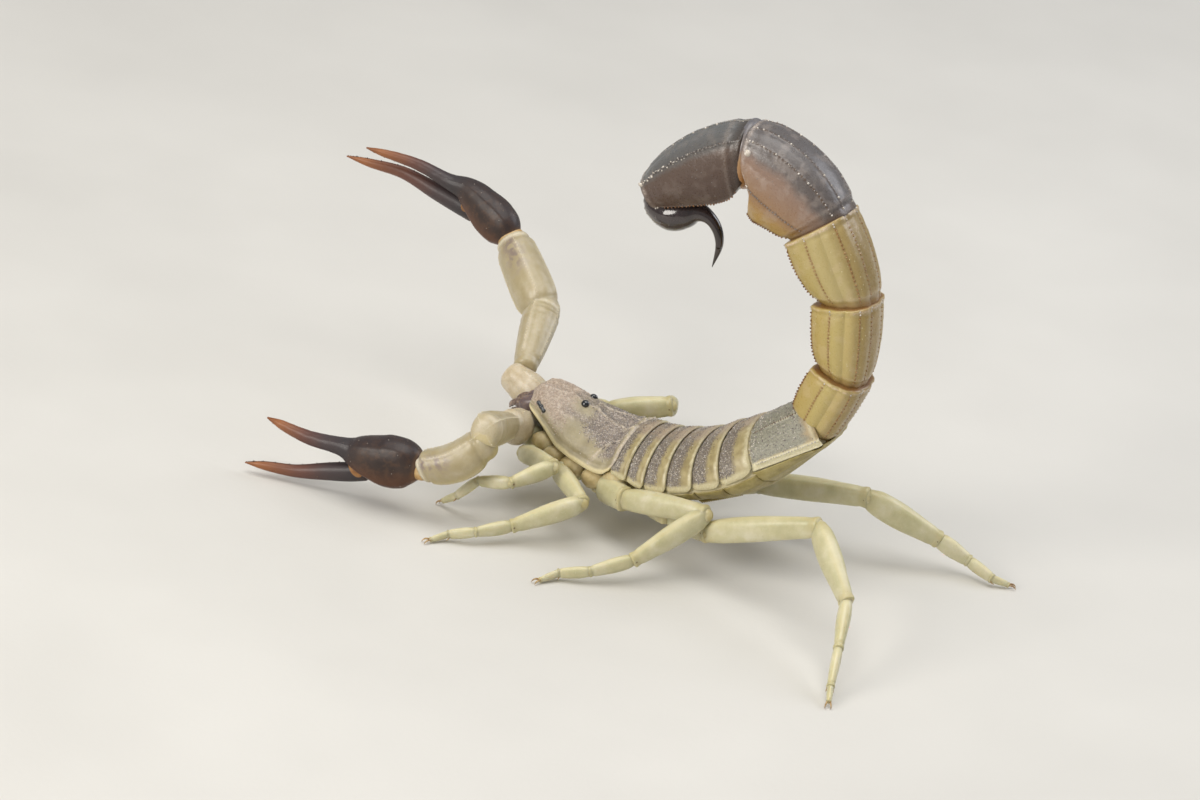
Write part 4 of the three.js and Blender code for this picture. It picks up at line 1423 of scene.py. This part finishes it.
# ------------------------------------------------------------------ jaws
def make_jaws():
    for side, name in SIDES:
        x = side * 0.86
        piece = Piece("jaw_" + name)
        girth = (
            (0.0, 0.6, 0.75, 0.8),
            (0.35, 0.74, 0.85, 0.9),
            (0.7, 0.74, 0.78, 0.9),
            (1.0, 0.5, 0.45, 0.55),
        )
        hand = limb((x, 0.3, 9.35), (x * 1.05, -2.45, 8.45), (0, 0, 1), girth, 2.2, relief=jaw_relief)
        piece.add(cover(60, 56, hand))
        upper = horn(
            (
                (x * 1.12, -2.05, 8.75),
                (x * 1.1, -2.75, 8.55),
                (x * 0.95, -3.25, 8.15),
                (x * 0.72, -3.5, 7.65),
            ),
            (0.4, 0.36, 0.26, 0.09),
            (0, 0, 1),
            1.1,
            relief=lambda s, u: 0.06 * max(math.sin(s * 20.0), 0.0) * hill(u - 0.75, 0.12),
        )
        piece.add(cover(44, 24, upper), 1)
        lower = horn(
            ((x * 1.1, -2.05, 8.05), (x * 1.05, -2.6, 7.7), (x * 0.95, -3.05, 7.45), (x * 0.78, -3.3, 7.35)),
            (0.36, 0.32, 0.24, 0.08),
            (0, 0, 1),
            1.1,
        )
        piece.add(cover(40, 24, lower), 1)
        spots = []
        for n in range(5):
            place = Vector((x * mix(1.08, 0.82, n / 4), mix(-2.4, -3.15, n / 4), mix(7.95, 7.55, n / 4)))
            spots.append((place, Vector((0, -0.2, 1)).normalized(), 0.1, 0.2))
        piece.add(strew(spots), 1)
        grains = plate_spots(81, 60, hand, lambda t, u, m: 0.6 * (m[1] > 0.2), (0.03, 0.05), (0.0, 0.5))
        piece.add(strew(grains), 0)
        piece.done(("jaw", "jaw tip"), ("chelicera_" + name,), "jaw_mauve")


def jaw_relief(s, u):
    return 0.05 * hill(u - 0.25, 0.04) - 0.05 * hill(s - 0.92, 0.04), 0.25 * hill(s - 0.97, 0.05), 0.0


# ------------------------------------------------------------------ pincers
PALPS = {
    "left": {
        "hip": (2.9, -0.7, 6.9),
        "knob": (5.0, -1.2, 8.0),
        "trochanter": (5.0, -1.2, 8.0),
        "elbow": (13.1, -0.25, 10.75),
        "fold": (12.9, -0.4, 9.1),
        "wrist": (14.5, -5.8, 5.2),
        "hinge": (15.1, -12.2, 3.3),
        "finger root": (15.45, -14.1, 4.95),
        "upper bend": (15.65, -17.9, 4.75),
        "upper tip": (15.8, -22.4, 5.35),
        "lower bend": (16.6, -18.2, 1.25),
        "lower tip": (18.0, -23.1, 1.0),
        "lift": (0, 0, 1),
        "slim": 1.0,
        "bow": -0.75,
        "arm": 1.0,
    },
    "right": {
        "hip": (-2.9, -1.3, 7.3),
        "knob": (-3.3, -5.0, 8.8),
        "trochanter": (-4.5, -4.7, 9.85),
        "elbow": (-11.6, -6.8, 12.8),
        "fold": (-11.6, -6.8, 12.8),
        "wrist": (-15.8, -13.1, 17.2),
        "hinge": (-17.2, -19.0, 18.9),
        "finger root": (-16.8, -21.4, 20.8),
        "upper bend": (-16.2, -25.2, 21.8),
        "upper tip": (-15.0, -30.4, 22.3),
        "lower bend": (-16.6, -26.6, 20.2),
        "lower tip": (-15.2, -32.6, 20.6),
        "lift": (0, 0.3, 1),
        "slim": 0.86,
        "bow": 0.0,
        "arm": 1.15,
    },
}


def keeled(places, low=0.06, high=0.95, wrinkle=0.0, streak=0.0, ring=1.0):
    """Relief of an arm segment: keels at the given turns round it."""

    def relief(s, u):
        body = step(low, low + 0.12, s) * step(high, high - 0.1, s)
        keel = 0.0
        for place in places:
            keel = max(keel, hill(apart(u, place), 0.02))
        lift = 0.11 * keel * body
        lift -= ring * (0.08 * hill(s - 0.93, 0.03) + 0.06 * hill(s - 0.06, 0.03))
        lift += ring * 0.045 * hill(s - 0.975, 0.03)
        lift += wrinkle * math.sin(s * 60.0 + 3.0 * math.sin(TAU * u)) * hill(s - 0.9, 0.16)
        dark = streak * step(0.35, 0.7, s) * step(1.0, 0.93, s) * hill(apart(u, 0.41), 0.09)
        return lift, min(dark, 1.0), max(0.35 * keel * body, 0.4 * ring * hill(s - 0.975, 0.03))

    return relief


def palm(p):
    """Surface of a pincer hand that runs on into its fixed finger."""
    lift = Vector(p["lift"]).normalized()
    wrist = Vector(p["wrist"])
    hinge = Vector(p["hinge"])
    bend = Vector(p["upper bend"])
    tip = Vector(p["upper tip"])
    start = wrist + (hinge - wrist).normalized() * 0.22
    slim = p["slim"]
    spine = (
        (0.0, *(start + lift * 0.2)),
        (0.16, *(wrist.lerp(hinge, 0.28) + lift * 0.6)),
        (0.3, *(wrist.lerp(hinge, 0.62) + lift * 0.82)),
        (0.44, *(hinge.lerp(Vector(p["finger root"]), 0.3) + lift * 1.05)),
        (0.56, *p["finger root"]),
        (0.76, *bend),
        (1.0, *tip),
    )
    girth = (
        (0.0, 1.2, 1.35, 1.5),
        (0.06, 1.6, 1.75, 2.1),
        (0.16, 1.95, 2.3, 2.65),
        (0.28, 2.1, 2.55, 2.7),
        (0.38, 1.85, 2.0, 2.1),
        (0.47, 1.35, 1.25, 1.4),
        (0.58, 0.95, 0.88, 0.85),
        (0.76, 0.66, 0.68, 0.68),
        (0.92, 0.42, 0.45, 0.45),
        (1.0, 0.1, 0.1, 0.1),
    )

    def surface(t, u):
        s = min(max((t - 0.05) / 0.93, 0.0), 1.0)
        here = Vector(read(spine, s))
        ahead = Vector(read(spine, min(s + 0.02, 1.0)))
        behind = Vector(read(spine, max(s - 0.02, 0.0)))
        along = (ahead - behind).normalized()
        side = along.cross(lift).normalized()
        up = side.cross(along)
        half, above, below = [size * slim for size in read(girth, s)]
        swell = 1.0
        push = 0.0
        if t < 0.05:
            turn = t / 0.05 * QUARTER
            swell = math.sin(turn) ** 0.7
            push = -0.4 * math.cos(turn)
        elif t > 0.98:
            swell = math.cos((t - 0.98) / 0.02 * QUARTER)
            push = 0.1 * math.sin((t - 0.98) / 0.02 * QUARTER)
        c = math.cos(TAU * u)
        d = math.sin(TAU * u)
        ridge = 0.0
        for place in (0.12, 0.38, 0.62, 0.88):
            ridge = max(ridge, hill(apart(u, place), 0.025))
        extra = 0.06 * ridge * step(0.05, 0.16, s) * step(0.72, 0.5, s)
        extra += 0.02 * wobble(here.x + c, here.y, here.z + d, 0.7)
        x = power(c, 0.92) * half * swell + c * extra
        z = power(d, 0.92) * (above if d > 0 else below) * swell + d * extra
        place = here + along * push + side * x + up * z
        return place, (s, d, 0.0, 0.12 * hill(s - 0.02, 0.02))

    return surface


def movable(p):
    """Surface of the finger that hinges under the hand."""
    lift = Vector(p["lift"]).normalized()
    hinge = Vector(p["hinge"])
    bend = Vector(p["lower bend"])
    tip = Vector(p["lower tip"])
    root = hinge + (Vector(p["wrist"]) - hinge).normalized() * 0.7 - lift * 0.55
    points = (
        root,
        hinge.lerp(bend, 0.16) - lift * 0.5,
        hinge.lerp(bend, 0.5) - lift * 0.3,
        bend,
        bend.lerp(tip, 0.6),
        tip,
    )
    return horn(points, (0.95, 1.0, 0.9, 0.66, 0.46, 0.08), lift, 0.88)


def tooth_row(seed, surface, u, low, high, count):
    """Fine teeth along the inner edge of a finger, every fifth one larger."""
    dice = random.Random(seed)
    spots = []
    for n in range(count):
        t = mix(low, high, n / (count - 1))
        place, out = facing(surface, t, u, 0.004)
        big = 1.7 if n % 6 == 0 else 1.0
        radius = 0.055 * big * dice.uniform(0.9, 1.1)
        spots.append((place, out, radius, radius * 1.3))
    return spots


ARM_BITS = (  # name, start, end, keels round it, more about them, rounding of the ends, girth
    (
        "trochanter",
        "hip",
        "knob",
        (0.3,),
        {"ring": 0.0},
        (0.5, 0.9),
        ((0.0, 1.3, 1.5, 1.5), (0.5, 1.65, 1.9, 1.85), (1.0, 1.4, 1.6, 1.6)),
    ),
    (
        "femur",
        "trochanter",
        "elbow",
        (0.13, 0.37, 0.63, 0.87),
        {"high": 1.3, "wrinkle": 0.05},
        (0.5, 0.6),
        ((0.0, 1.05, 1.1, 1.1), (0.35, 1.35, 1.5, 1.45), (0.8, 1.6, 1.75, 1.7), (1.0, 1.5, 1.65, 1.65)),
    ),
    (
        "patella",
        "fold",
        "wrist",
        (0.17, 0.36, 0.64, 0.9),
        {"wrinkle": 0.015, "streak": 1.0, "ring": 1.6},
        (0.8, 0.12),
        (
            (0.0, 1.5, 1.6, 1.7),
            (0.2, 1.75, 1.9, 2.0),
            (0.6, 1.7, 1.9, 1.95),
            (0.9, 1.55, 1.72, 1.72),
            (1.0, 1.3, 1.45, 1.4),
        ),
    ),
)


def make_palp(name):
    """One pincer arm: three segments, the hand and the movable finger."""
    p = PALPS[name]
    lift = p["lift"]
    for n, (bit, start, end, keels, more, caps, girth) in enumerate(ARM_BITS):
        a = p[start]
        b = p[end]
        at_body = bit == "trochanter"
        at_hand = bit == "patella"
        piece = Piece("palp_%s_%s" % (bit, name))
        wide = 1.0 if at_body else p["arm"]
        girth = tuple((row[0], row[1] * wide, row[2] * wide, row[3] * wide) for row in girth)
        bow = p["bow"] if at_hand else 0.0
        surface = limb(a, b, lift, girth, 2.15, caps=caps, bow=bow, relief=keeled(keels, **more))
        piece.add(cover(96, 96, surface))
        gap = 0.28 / (Vector(b) - Vector(a)).length
        high = 0.96 if bit == "femur" else 0.82
        for m, u in enumerate(keels):
            row = ridge_spots(200 + 10 * n + m, surface, u, 0.2, high, gap, (0.05, 0.075))
            piece.add(strew(row), 1)
        inside = (Vector(a) - Vector(b)).normalized() * 0.35
        seat = Vector(b) if at_hand else Vector(b) + inside
        piece.add(joint_skin(seat, min(girth[-1][1:3]) * (0.98 if at_hand else 0.5)), 2)
        piece.add(strew(bristles(surface, 260 + n, 14, 0.5), template="hair"), 3)
        piece.done(
            (
                "palp root" if at_body else "palp",
                "pale grain",
                "wrist skin" if at_hand else "joint skin",
                "bristle",
            ),
            ("pedipalp_%s_%s" % (bit, name),),
            "palp_cuticle",
        )
    hand = palm(p)
    piece = Piece("palp_hand_" + name)
    piece.add(cover(200, 96, hand))
    piece.add(strew(tooth_row(301, hand, 0.75, 0.62, 0.97, 46)), 1)
    root = Vector(p["hinge"]) - Vector(lift).normalized() * 0.25
    piece.add(joint_skin(root, 1.02, 1.25), 2)
    piece.add(strew(bristles(hand, 310, 22, 0.55, 0.05, 0.9), template="hair"), 3)
    dust = plate_spots(320, 40, hand, lambda t, u, m: 0.5 * (t < 0.5), (0.03, 0.05), (0.0, 1.0))
    piece.add(strew(dust), 4)
    piece.done(
        ("hand", "dark grain", "hinge skin", "bristle", "dust"),
        ("pedipalp_hand_" + name,),
        "chela_dark",
    )
    finger = movable(p)
    piece = Piece("palp_finger_" + name)
    piece.add(cover(120, 60, finger_marks(finger)))
    piece.add(strew(tooth_row(302, finger, 0.25, 0.3, 0.95, 48)), 1)
    piece.add(strew(bristles(finger, 330, 12, 0.45, 0.1, 0.8), template="hair"), 2)
    piece.done(
        ("hand", "dark grain", "bristle"), ("pedipalp_movable_finger_" + name,), "chela_dark"
    )


def finger_marks(surface):
    """Colours the movable finger as the outer part of the hand."""
    def marked(t, u):
        place, marks = surface(t, u)
        return place, (0.46 + 0.54 * marks[0], marks[1], 0.0, 0.0)

    return marked


def joint_skin(place, radius, long=1.0):
    """Soft skin inside a limb joint."""
    bm = bmesh.new()
    bmesh.ops.create_uvsphere(bm, u_segments=32, v_segments=20, radius=radius)
    for vert in bm.verts:
        vert.co = Vector((vert.co.x, vert.co.y * long, vert.co.z)) + place
    return mark_all(bm, PLAIN)


def bristles(surface, seed, count, long, low=0.12, high=0.9):
    """Fine hairs that lean towards the end of a segment."""
    dice = random.Random(seed)
    spots = []
    for _ in range(count):
        t = dice.uniform(low, high)
        u = dice.uniform(0.0, 1.0)
        place, out = facing(surface, t, u, 0.006)
        ahead = facing(surface, min(t + 0.05, 0.95), u)[0] - place
        lean = (out + ahead.normalized() * dice.uniform(0.1, 0.5)).normalized()
        spots.append((place - lean * 0.03, lean, 0.022, long * dice.uniform(0.6, 1.2)))
    return spots


# ------------------------------------------------------------------ legs
LEGS = {  # hip, trochanter end, knee, ends of the patella, tibia and foot's first part, claws
    "leg1_left": (
        (3.5, 2.4, 5.4), (4.9, 0.45, 5.4), (8.0, 5.2, 6.7), (11.3, 2.4, 5.2),
        (11.5, -1.0, 4.3), (11.2, -3.1, 1.8), (10.8, -5.0, 0.35),
    ),
    "leg2_left": (
        (4.1, 5.6, 4.9), (5.4, 4.6, 5.2), (9.5, 9.5, 4.8), (13.5, 4.2, 1.95),
        (16.2, 1.6, 1.4), (17.4, -0.7, 0.8), (19.2, -2.1, 0.35),
    ),
    "leg3_left": (
        (4.5, 9.2, 4.7), (6.3, 12.5, 5.1), (7.8, 21.7, 7.2), (13.0, 17.1, 2.65),
        (15.7, 13.9, 1.3), (17.2, 11.3, 0.8), (19.4, 10.0, 0.35),
    ),
    "leg4_left": (
        (4.7, 16.9, 4.2), (7.2, 22.0, 5.2), (7.8, 33.3, 10.0), (13.0, 39.2, 6.2),
        (17.2, 40.7, 3.45), (20.6, 41.8, 1.2), (22.6, 42.6, 0.35),
    ),
    "leg1_right": (
        (-3.5, 2.4, 5.3), (-5.0, 1.5, 4.9), (-9.4, 2.8, 5.9), (-12.6, -0.6, 3.9),
        (-14.3, -3.4, 2.3), (-15.4, -5.8, 1.0), (-16.4, -7.7, 0.35),
    ),
    "leg2_right": (
        (-4.1, 5.6, 4.9), (-5.6, 4.3, 7.3), (-8.4, 9.9, 9.0), (-14.3, 7.4, 6.0),
        (-17.9, 5.4, 3.8), (-20.4, 4.0, 1.7), (-22.2, 2.8, 0.35),
    ),
    "leg3_right": (
        (-4.5, 9.2, 4.7), (-6.6, 11.9, 5.4), (-13.0, 17.8, 7.4), (-19.0, 15.0, 3.4),
        (-22.0, 12.9, 1.7), (-23.6, 11.2, 0.8), (-25.3, 9.7, 0.35),
    ),
    "leg4_right": (
        (-4.7, 16.9, 4.2), (-7.7, 20.9, 4.5), (-8.4, 32.1, 6.6), (-11.6, 39.1, 3.2),
        (-12.3, 42.4, 1.7), (-12.0, 45.2, 0.85), (-12.9, 47.2, 0.35),
    ),
}
LEG_GIRTH = {  # half depth of trochanter, femur, patella, tibia and the two parts of the foot
    "1": (0.85, 0.88, 0.78, 0.6, 0.5, 0.42),
    "2": (0.85, 0.92, 0.92, 0.62, 0.52, 0.42),
    "3": (1.3, 1.08, 1.0, 0.66, 0.56, 0.45),
    "leg2_right": (0.85, 1.12, 0.95, 0.62, 0.52, 0.42),
    "4": (1.1, 1.12, 1.18, 0.8, 0.62, 0.46),
}


def leg_relief(s, u):
    top = hill(apart(u, 0.25), 0.03)
    low = hill(apart(u, 0.7), 0.03)
    body = step(0.08, 0.25, s) * step(0.98, 0.85, s)
    lift = (0.05 * top + 0.035 * low) * body - 0.05 * hill(s - 0.94, 0.03) + 0.05 * hill(s - 0.99, 0.025)
    return lift, 0.0, 0.3 * top * body


LEG_STRETCHES = (  # fullness, taper, and start, of trochanter, femur, patella, tibia and foot
    (1.05, 1.0, 0.85),
    (1.1, 0.95, 0.98),
    (1.1, 0.78, 0.85),
    (1.08, 0.82, 0.9),
    (1.0, 0.82, 0.9),
)


def make_leg(name, joints):
    """One leg from its hip to its two claws, as one piece."""
    g = LEG_GIRTH.get(name, LEG_GIRTH[name[3]])
    up = (0, 0, 1)
    piece = Piece(name)
    seed = 400 + 20 * int(name[3]) + (10 if name.endswith("left") else 0)
    for n, (swell, taper, start) in enumerate(LEG_STRETCHES):
        a = joints[n]
        b = joints[n + 1]
        deep = g[n]
        late = mix(1.0, taper, 0.6)
        girth = (
            (0.0, deep * 0.66 * start, deep * 0.92 * start, deep * 0.92 * start),
            (0.14, deep * 0.74 * swell, deep * 0.97 * swell, deep * 0.95 * swell),
            (0.45, deep * 0.78 * swell, deep * swell, deep * swell),
            (0.8, deep * 0.74 * late, deep * late, deep * late),
            (1.0, deep * 0.74 * taper, deep * 0.95 * taper, deep * 0.95 * taper),
        )
        bow = 0.12 * (n == 1)
        shape = limb(a, b, up, girth, 2.7, caps=(0.4, 0.35), bow=bow, relief=leg_relief)
        piece.add(cover(64, 44, shape))
        piece.add(strew(bristles(shape, seed + n, 8 if n < 3 else 16, 0.42), template="hair"), 2)
        if n < 4:
            piece.add(joint_skin(Vector(b), min(deep * 0.72 * taper, g[n + 1] * 0.72)), 1)
        if n < 3:
            along, side, _ = axes(Vector(a), Vector(b), Vector(up))
            spots = []
            for way in (1, -1):
                spot = Vector(b) - along * 0.12 + side * way * deep * 0.7 * taper
                spots.append((spot, side * way, 0.13, 0.09))
            piece.add(strew(spots, template="bead"), 3)
    heel = Vector(joints[5])
    toe = Vector(joints[6])
    tip = Vector((toe.x, toe.y, g[5] * 0.75 - 0.05))
    deep = g[5]
    foot_girth = (
        (0.0, deep * 0.7, deep * 0.9, deep * 0.9),
        (0.5, deep * 0.66, deep * 0.8, deep * 0.8),
        (1.0, deep * 0.5, deep * 0.6, deep * 0.6),
    )
    back = tip.lerp(heel, 0.22)
    foot = cover(56, 36, limb(heel, back, up, foot_girth, 2.2, relief=leg_relief))
    piece.add(foot)
    piece.add(strew(bristles(limb(heel, back, up, foot_girth), seed + 9, 18, 0.36), template="hair"), 2)
    along, side, top = axes(heel, back, Vector(up))

    def hook(root, bends, radii, way, rows, sides):
        line = [root + along * on + top * high + side * way * wide for on, high, wide in bends]
        piece.add(cover(rows, sides, horn(line, radii, up)), 4)

    claw = ((0.0, 0.0, 0.0), (0.4, 0.14, 0.1), (0.7, 0.06, 0.16), (0.85, -0.1, 0.16))
    spur = ((0.0, 0.0, 0.0), (0.25, -0.14, 0.1), (0.5, -0.2, 0.16))
    for way in (1, -1):
        hook(back + side * way * 0.12, claw, (0.1, 0.09, 0.06, 0.02), way, 20, 12)
        root = heel - along * 0.1 + side * way * 0.22 - top * 0.2
        hook(root, spur, (0.09, 0.06, 0.02), way, 12, 10)
    piece.done(
        ("leg", "joint skin", "bristle", "condyle", "claw"),
        (name + "_femur", name + "_patella", name + "_tarsus"),
        "pale_cuticle",
    )


# ------------------------------------------------------------------ floor, lights and camera
FLOOR_HALF = 1.2
LIGHTS = (  # name, place, what it points at, width, power and colour, in metres and watts
    ("sky panel", (0.02, 0.0, 0.36), (0.0, 0.0, 0.0), 0.34, 0.88, "fffdf9"),
    ("side panel", (0.34, -0.16, 0.17), (0.0, 0.0, 0.012), 0.2, 0.95, "fffaf2"),
    ("rear panel", (-0.22, 0.2, 0.22), (0.0, 0.0, 0.02), 0.22, 0.4, "f4f7ff"),
)
ROOM_COLOUR = "f6f6f5"
ROOM_LIGHT = 0.32
LENS_LENGTH = 156.0
SENSOR_WIDTH = 36.0
VIEW_RIGHT = Vector((-0.4341, 0.8883, 0.1496))
VIEW_UP = Vector((-0.3246, -0.3092, 0.8939))
VIEW_BACK = Vector((0.8403, 0.3395, 0.4226))
VIEW_AIM = Vector((-4.276, -3.987, 8.453)) * MM
VIEW_DISTANCE = 0.52


def set_stage():
    """A pale floor, three soft lights and the camera."""
    bm = bmesh.new()
    bmesh.ops.create_grid(bm, x_segments=4, y_segments=4, size=FLOOR_HALF)
    mesh = bpy.data.meshes.new("floor")
    bm.to_mesh(mesh)
    bm.free()
    mesh.materials.append(floor_finish())
    floor = bpy.data.objects.new("floor", mesh)
    bpy.context.scene.collection.objects.link(floor)
    for name, place, aim, size, power, shade in LIGHTS:
        lamp = bpy.data.lights.new(name, "AREA")
        lamp.shape = "DISK"
        lamp.size = size
        lamp.energy = power
        lamp.color = tint(shade)[:3]
        thing = bpy.data.objects.new(name, lamp)
        thing.location = place
        thing.rotation_mode = "QUATERNION"
        thing.rotation_quaternion = (Vector(aim) - Vector(place)).to_track_quat("-Z", "Y")
        bpy.context.scene.collection.objects.link(thing)
    world = bpy.data.worlds.new("studio")
    world.use_nodes = True
    room = world.node_tree.nodes["Background"]
    room.inputs["Color"].default_value = tint(ROOM_COLOUR)
    room.inputs["Strength"].default_value = ROOM_LIGHT
    bpy.context.scene.world = world
    lens_data = bpy.data.cameras.new("camera")
    lens_data.lens = LENS_LENGTH
    lens_data.sensor_width = SENSOR_WIDTH
    lens_data.clip_start = 0.01
    lens_data.clip_end = 10.0
    camera = bpy.data.objects.new("camera", lens_data)
    turn = Matrix((VIEW_RIGHT, VIEW_UP, VIEW_BACK)).transposed()
    camera.matrix_world = Matrix.Translation(VIEW_AIM + VIEW_BACK * VIEW_DISTANCE) @ turn.to_4x4()
    bpy.context.scene.collection.objects.link(camera)
    bpy.context.scene.camera = camera
    bpy.context.scene.view_settings.view_transform = "Standard"


GRAINS = (  # name, darker colour, lighter colour, and how rough where it isn't the usual
    ("slate grain", "716965", "958c86"),
    ("white grain", "b3a89c", "e6ded2", 0.22),
    ("warm grain", "b39b89", "d6c3b2"),
    ("brown grain", "5e4c42", "80695a"),
    ("keel grain", "8a6534", "b08a52"),
    ("tooth grain", "5a3a22", "84582f"),
    ("pale grain", "cfc29c", "e8dfc6"),
    ("dark grain", "2c211d", "4a3428"),
    ("speck", "c9b988", "e8dcb4", 0.2),
    ("dust", "9a8d80", "c4b8aa", 0.5),
    ("condyle", "5e4a2e", "8a7148"),
    ("claw", "8a6a44", "b89a68"),
    ("jaw tip", "57463f", "8d7767"),
)


def all_finishes():
    finishes = {row[0]: grain_finish(*row) for row in GRAINS}
    finishes.update({
        "shield": shield_finish(),
        "tergite": tergite_finish(),
        "last tergite": last_tergite_finish(),
        "pleura": soft_finish("side skin", "bcae84", "cfc29a", "ddd3b0"),
        "sternite": soft_finish("belly plate", "8f7f4e", "a8985f", "bfb07c", 0.15, 0.36),
        "joint skin": soft_finish("joint skin", "b5a672", "cabd8e", "ddd3ae"),
        "wrist skin": soft_finish("wrist skin", "a8844f", "bf9a64", "d2b68a"),
        "hinge skin": soft_finish("hinge skin", "7a5129", "96683a", "ae8150"),
        "membrane": soft_finish("tail joint skin", "9c6634", "bb8a55", "cfa672"),
        "sting skin": soft_finish("sting joint skin", "35261f", "46342a", "5a4537", 0.1),
        "fold": soft_finish("soft folds over the hips", "b09d6c", "c4b284", "d4c59d"),
        "leg": leg_finish(),
        "palp": palp_finish(),
        "palp root": soft_finish("arm root", "b9a98b", "c5b79c", "d3c8b4", 0.3, 0.3),
        "hand": hand_finish(),
        "tail one": tail_finish("first tail ring", AMBER),
        "tail two": tail_finish("second tail ring", AMBER),
        "tail three": tail_finish("third tail ring", HONEY),
        # the fourth ring takes a larger share of painted highlight blotches
        "tail four": tail_finish("fourth tail ring", SMOKY, "54402f", "b8aba2", 0.03, painted_highlight_share=0.22),
        "tail five": tail_finish("fifth tail ring", DUSKY, "34271f", "a79a90", 0.035),
        "dark joint": tail_finish("dark joint skin", JOINT, "8a6238", "a99a88"),
        "sting": sting_finish(),
        "jaw": jaw_finish(),
        "eye": eye_finish(),
        "bristle": bristle_finish(),
    })
    return finishes


set_stage()
FINISHES = all_finishes()
make_carapace()
make_back()
make_belly()
make_underside()
make_tail()
make_telson()
make_jaws()
make_palp("left")
make_palp("right")
for leg, joints in LEGS.items():
    make_leg(leg, joints)
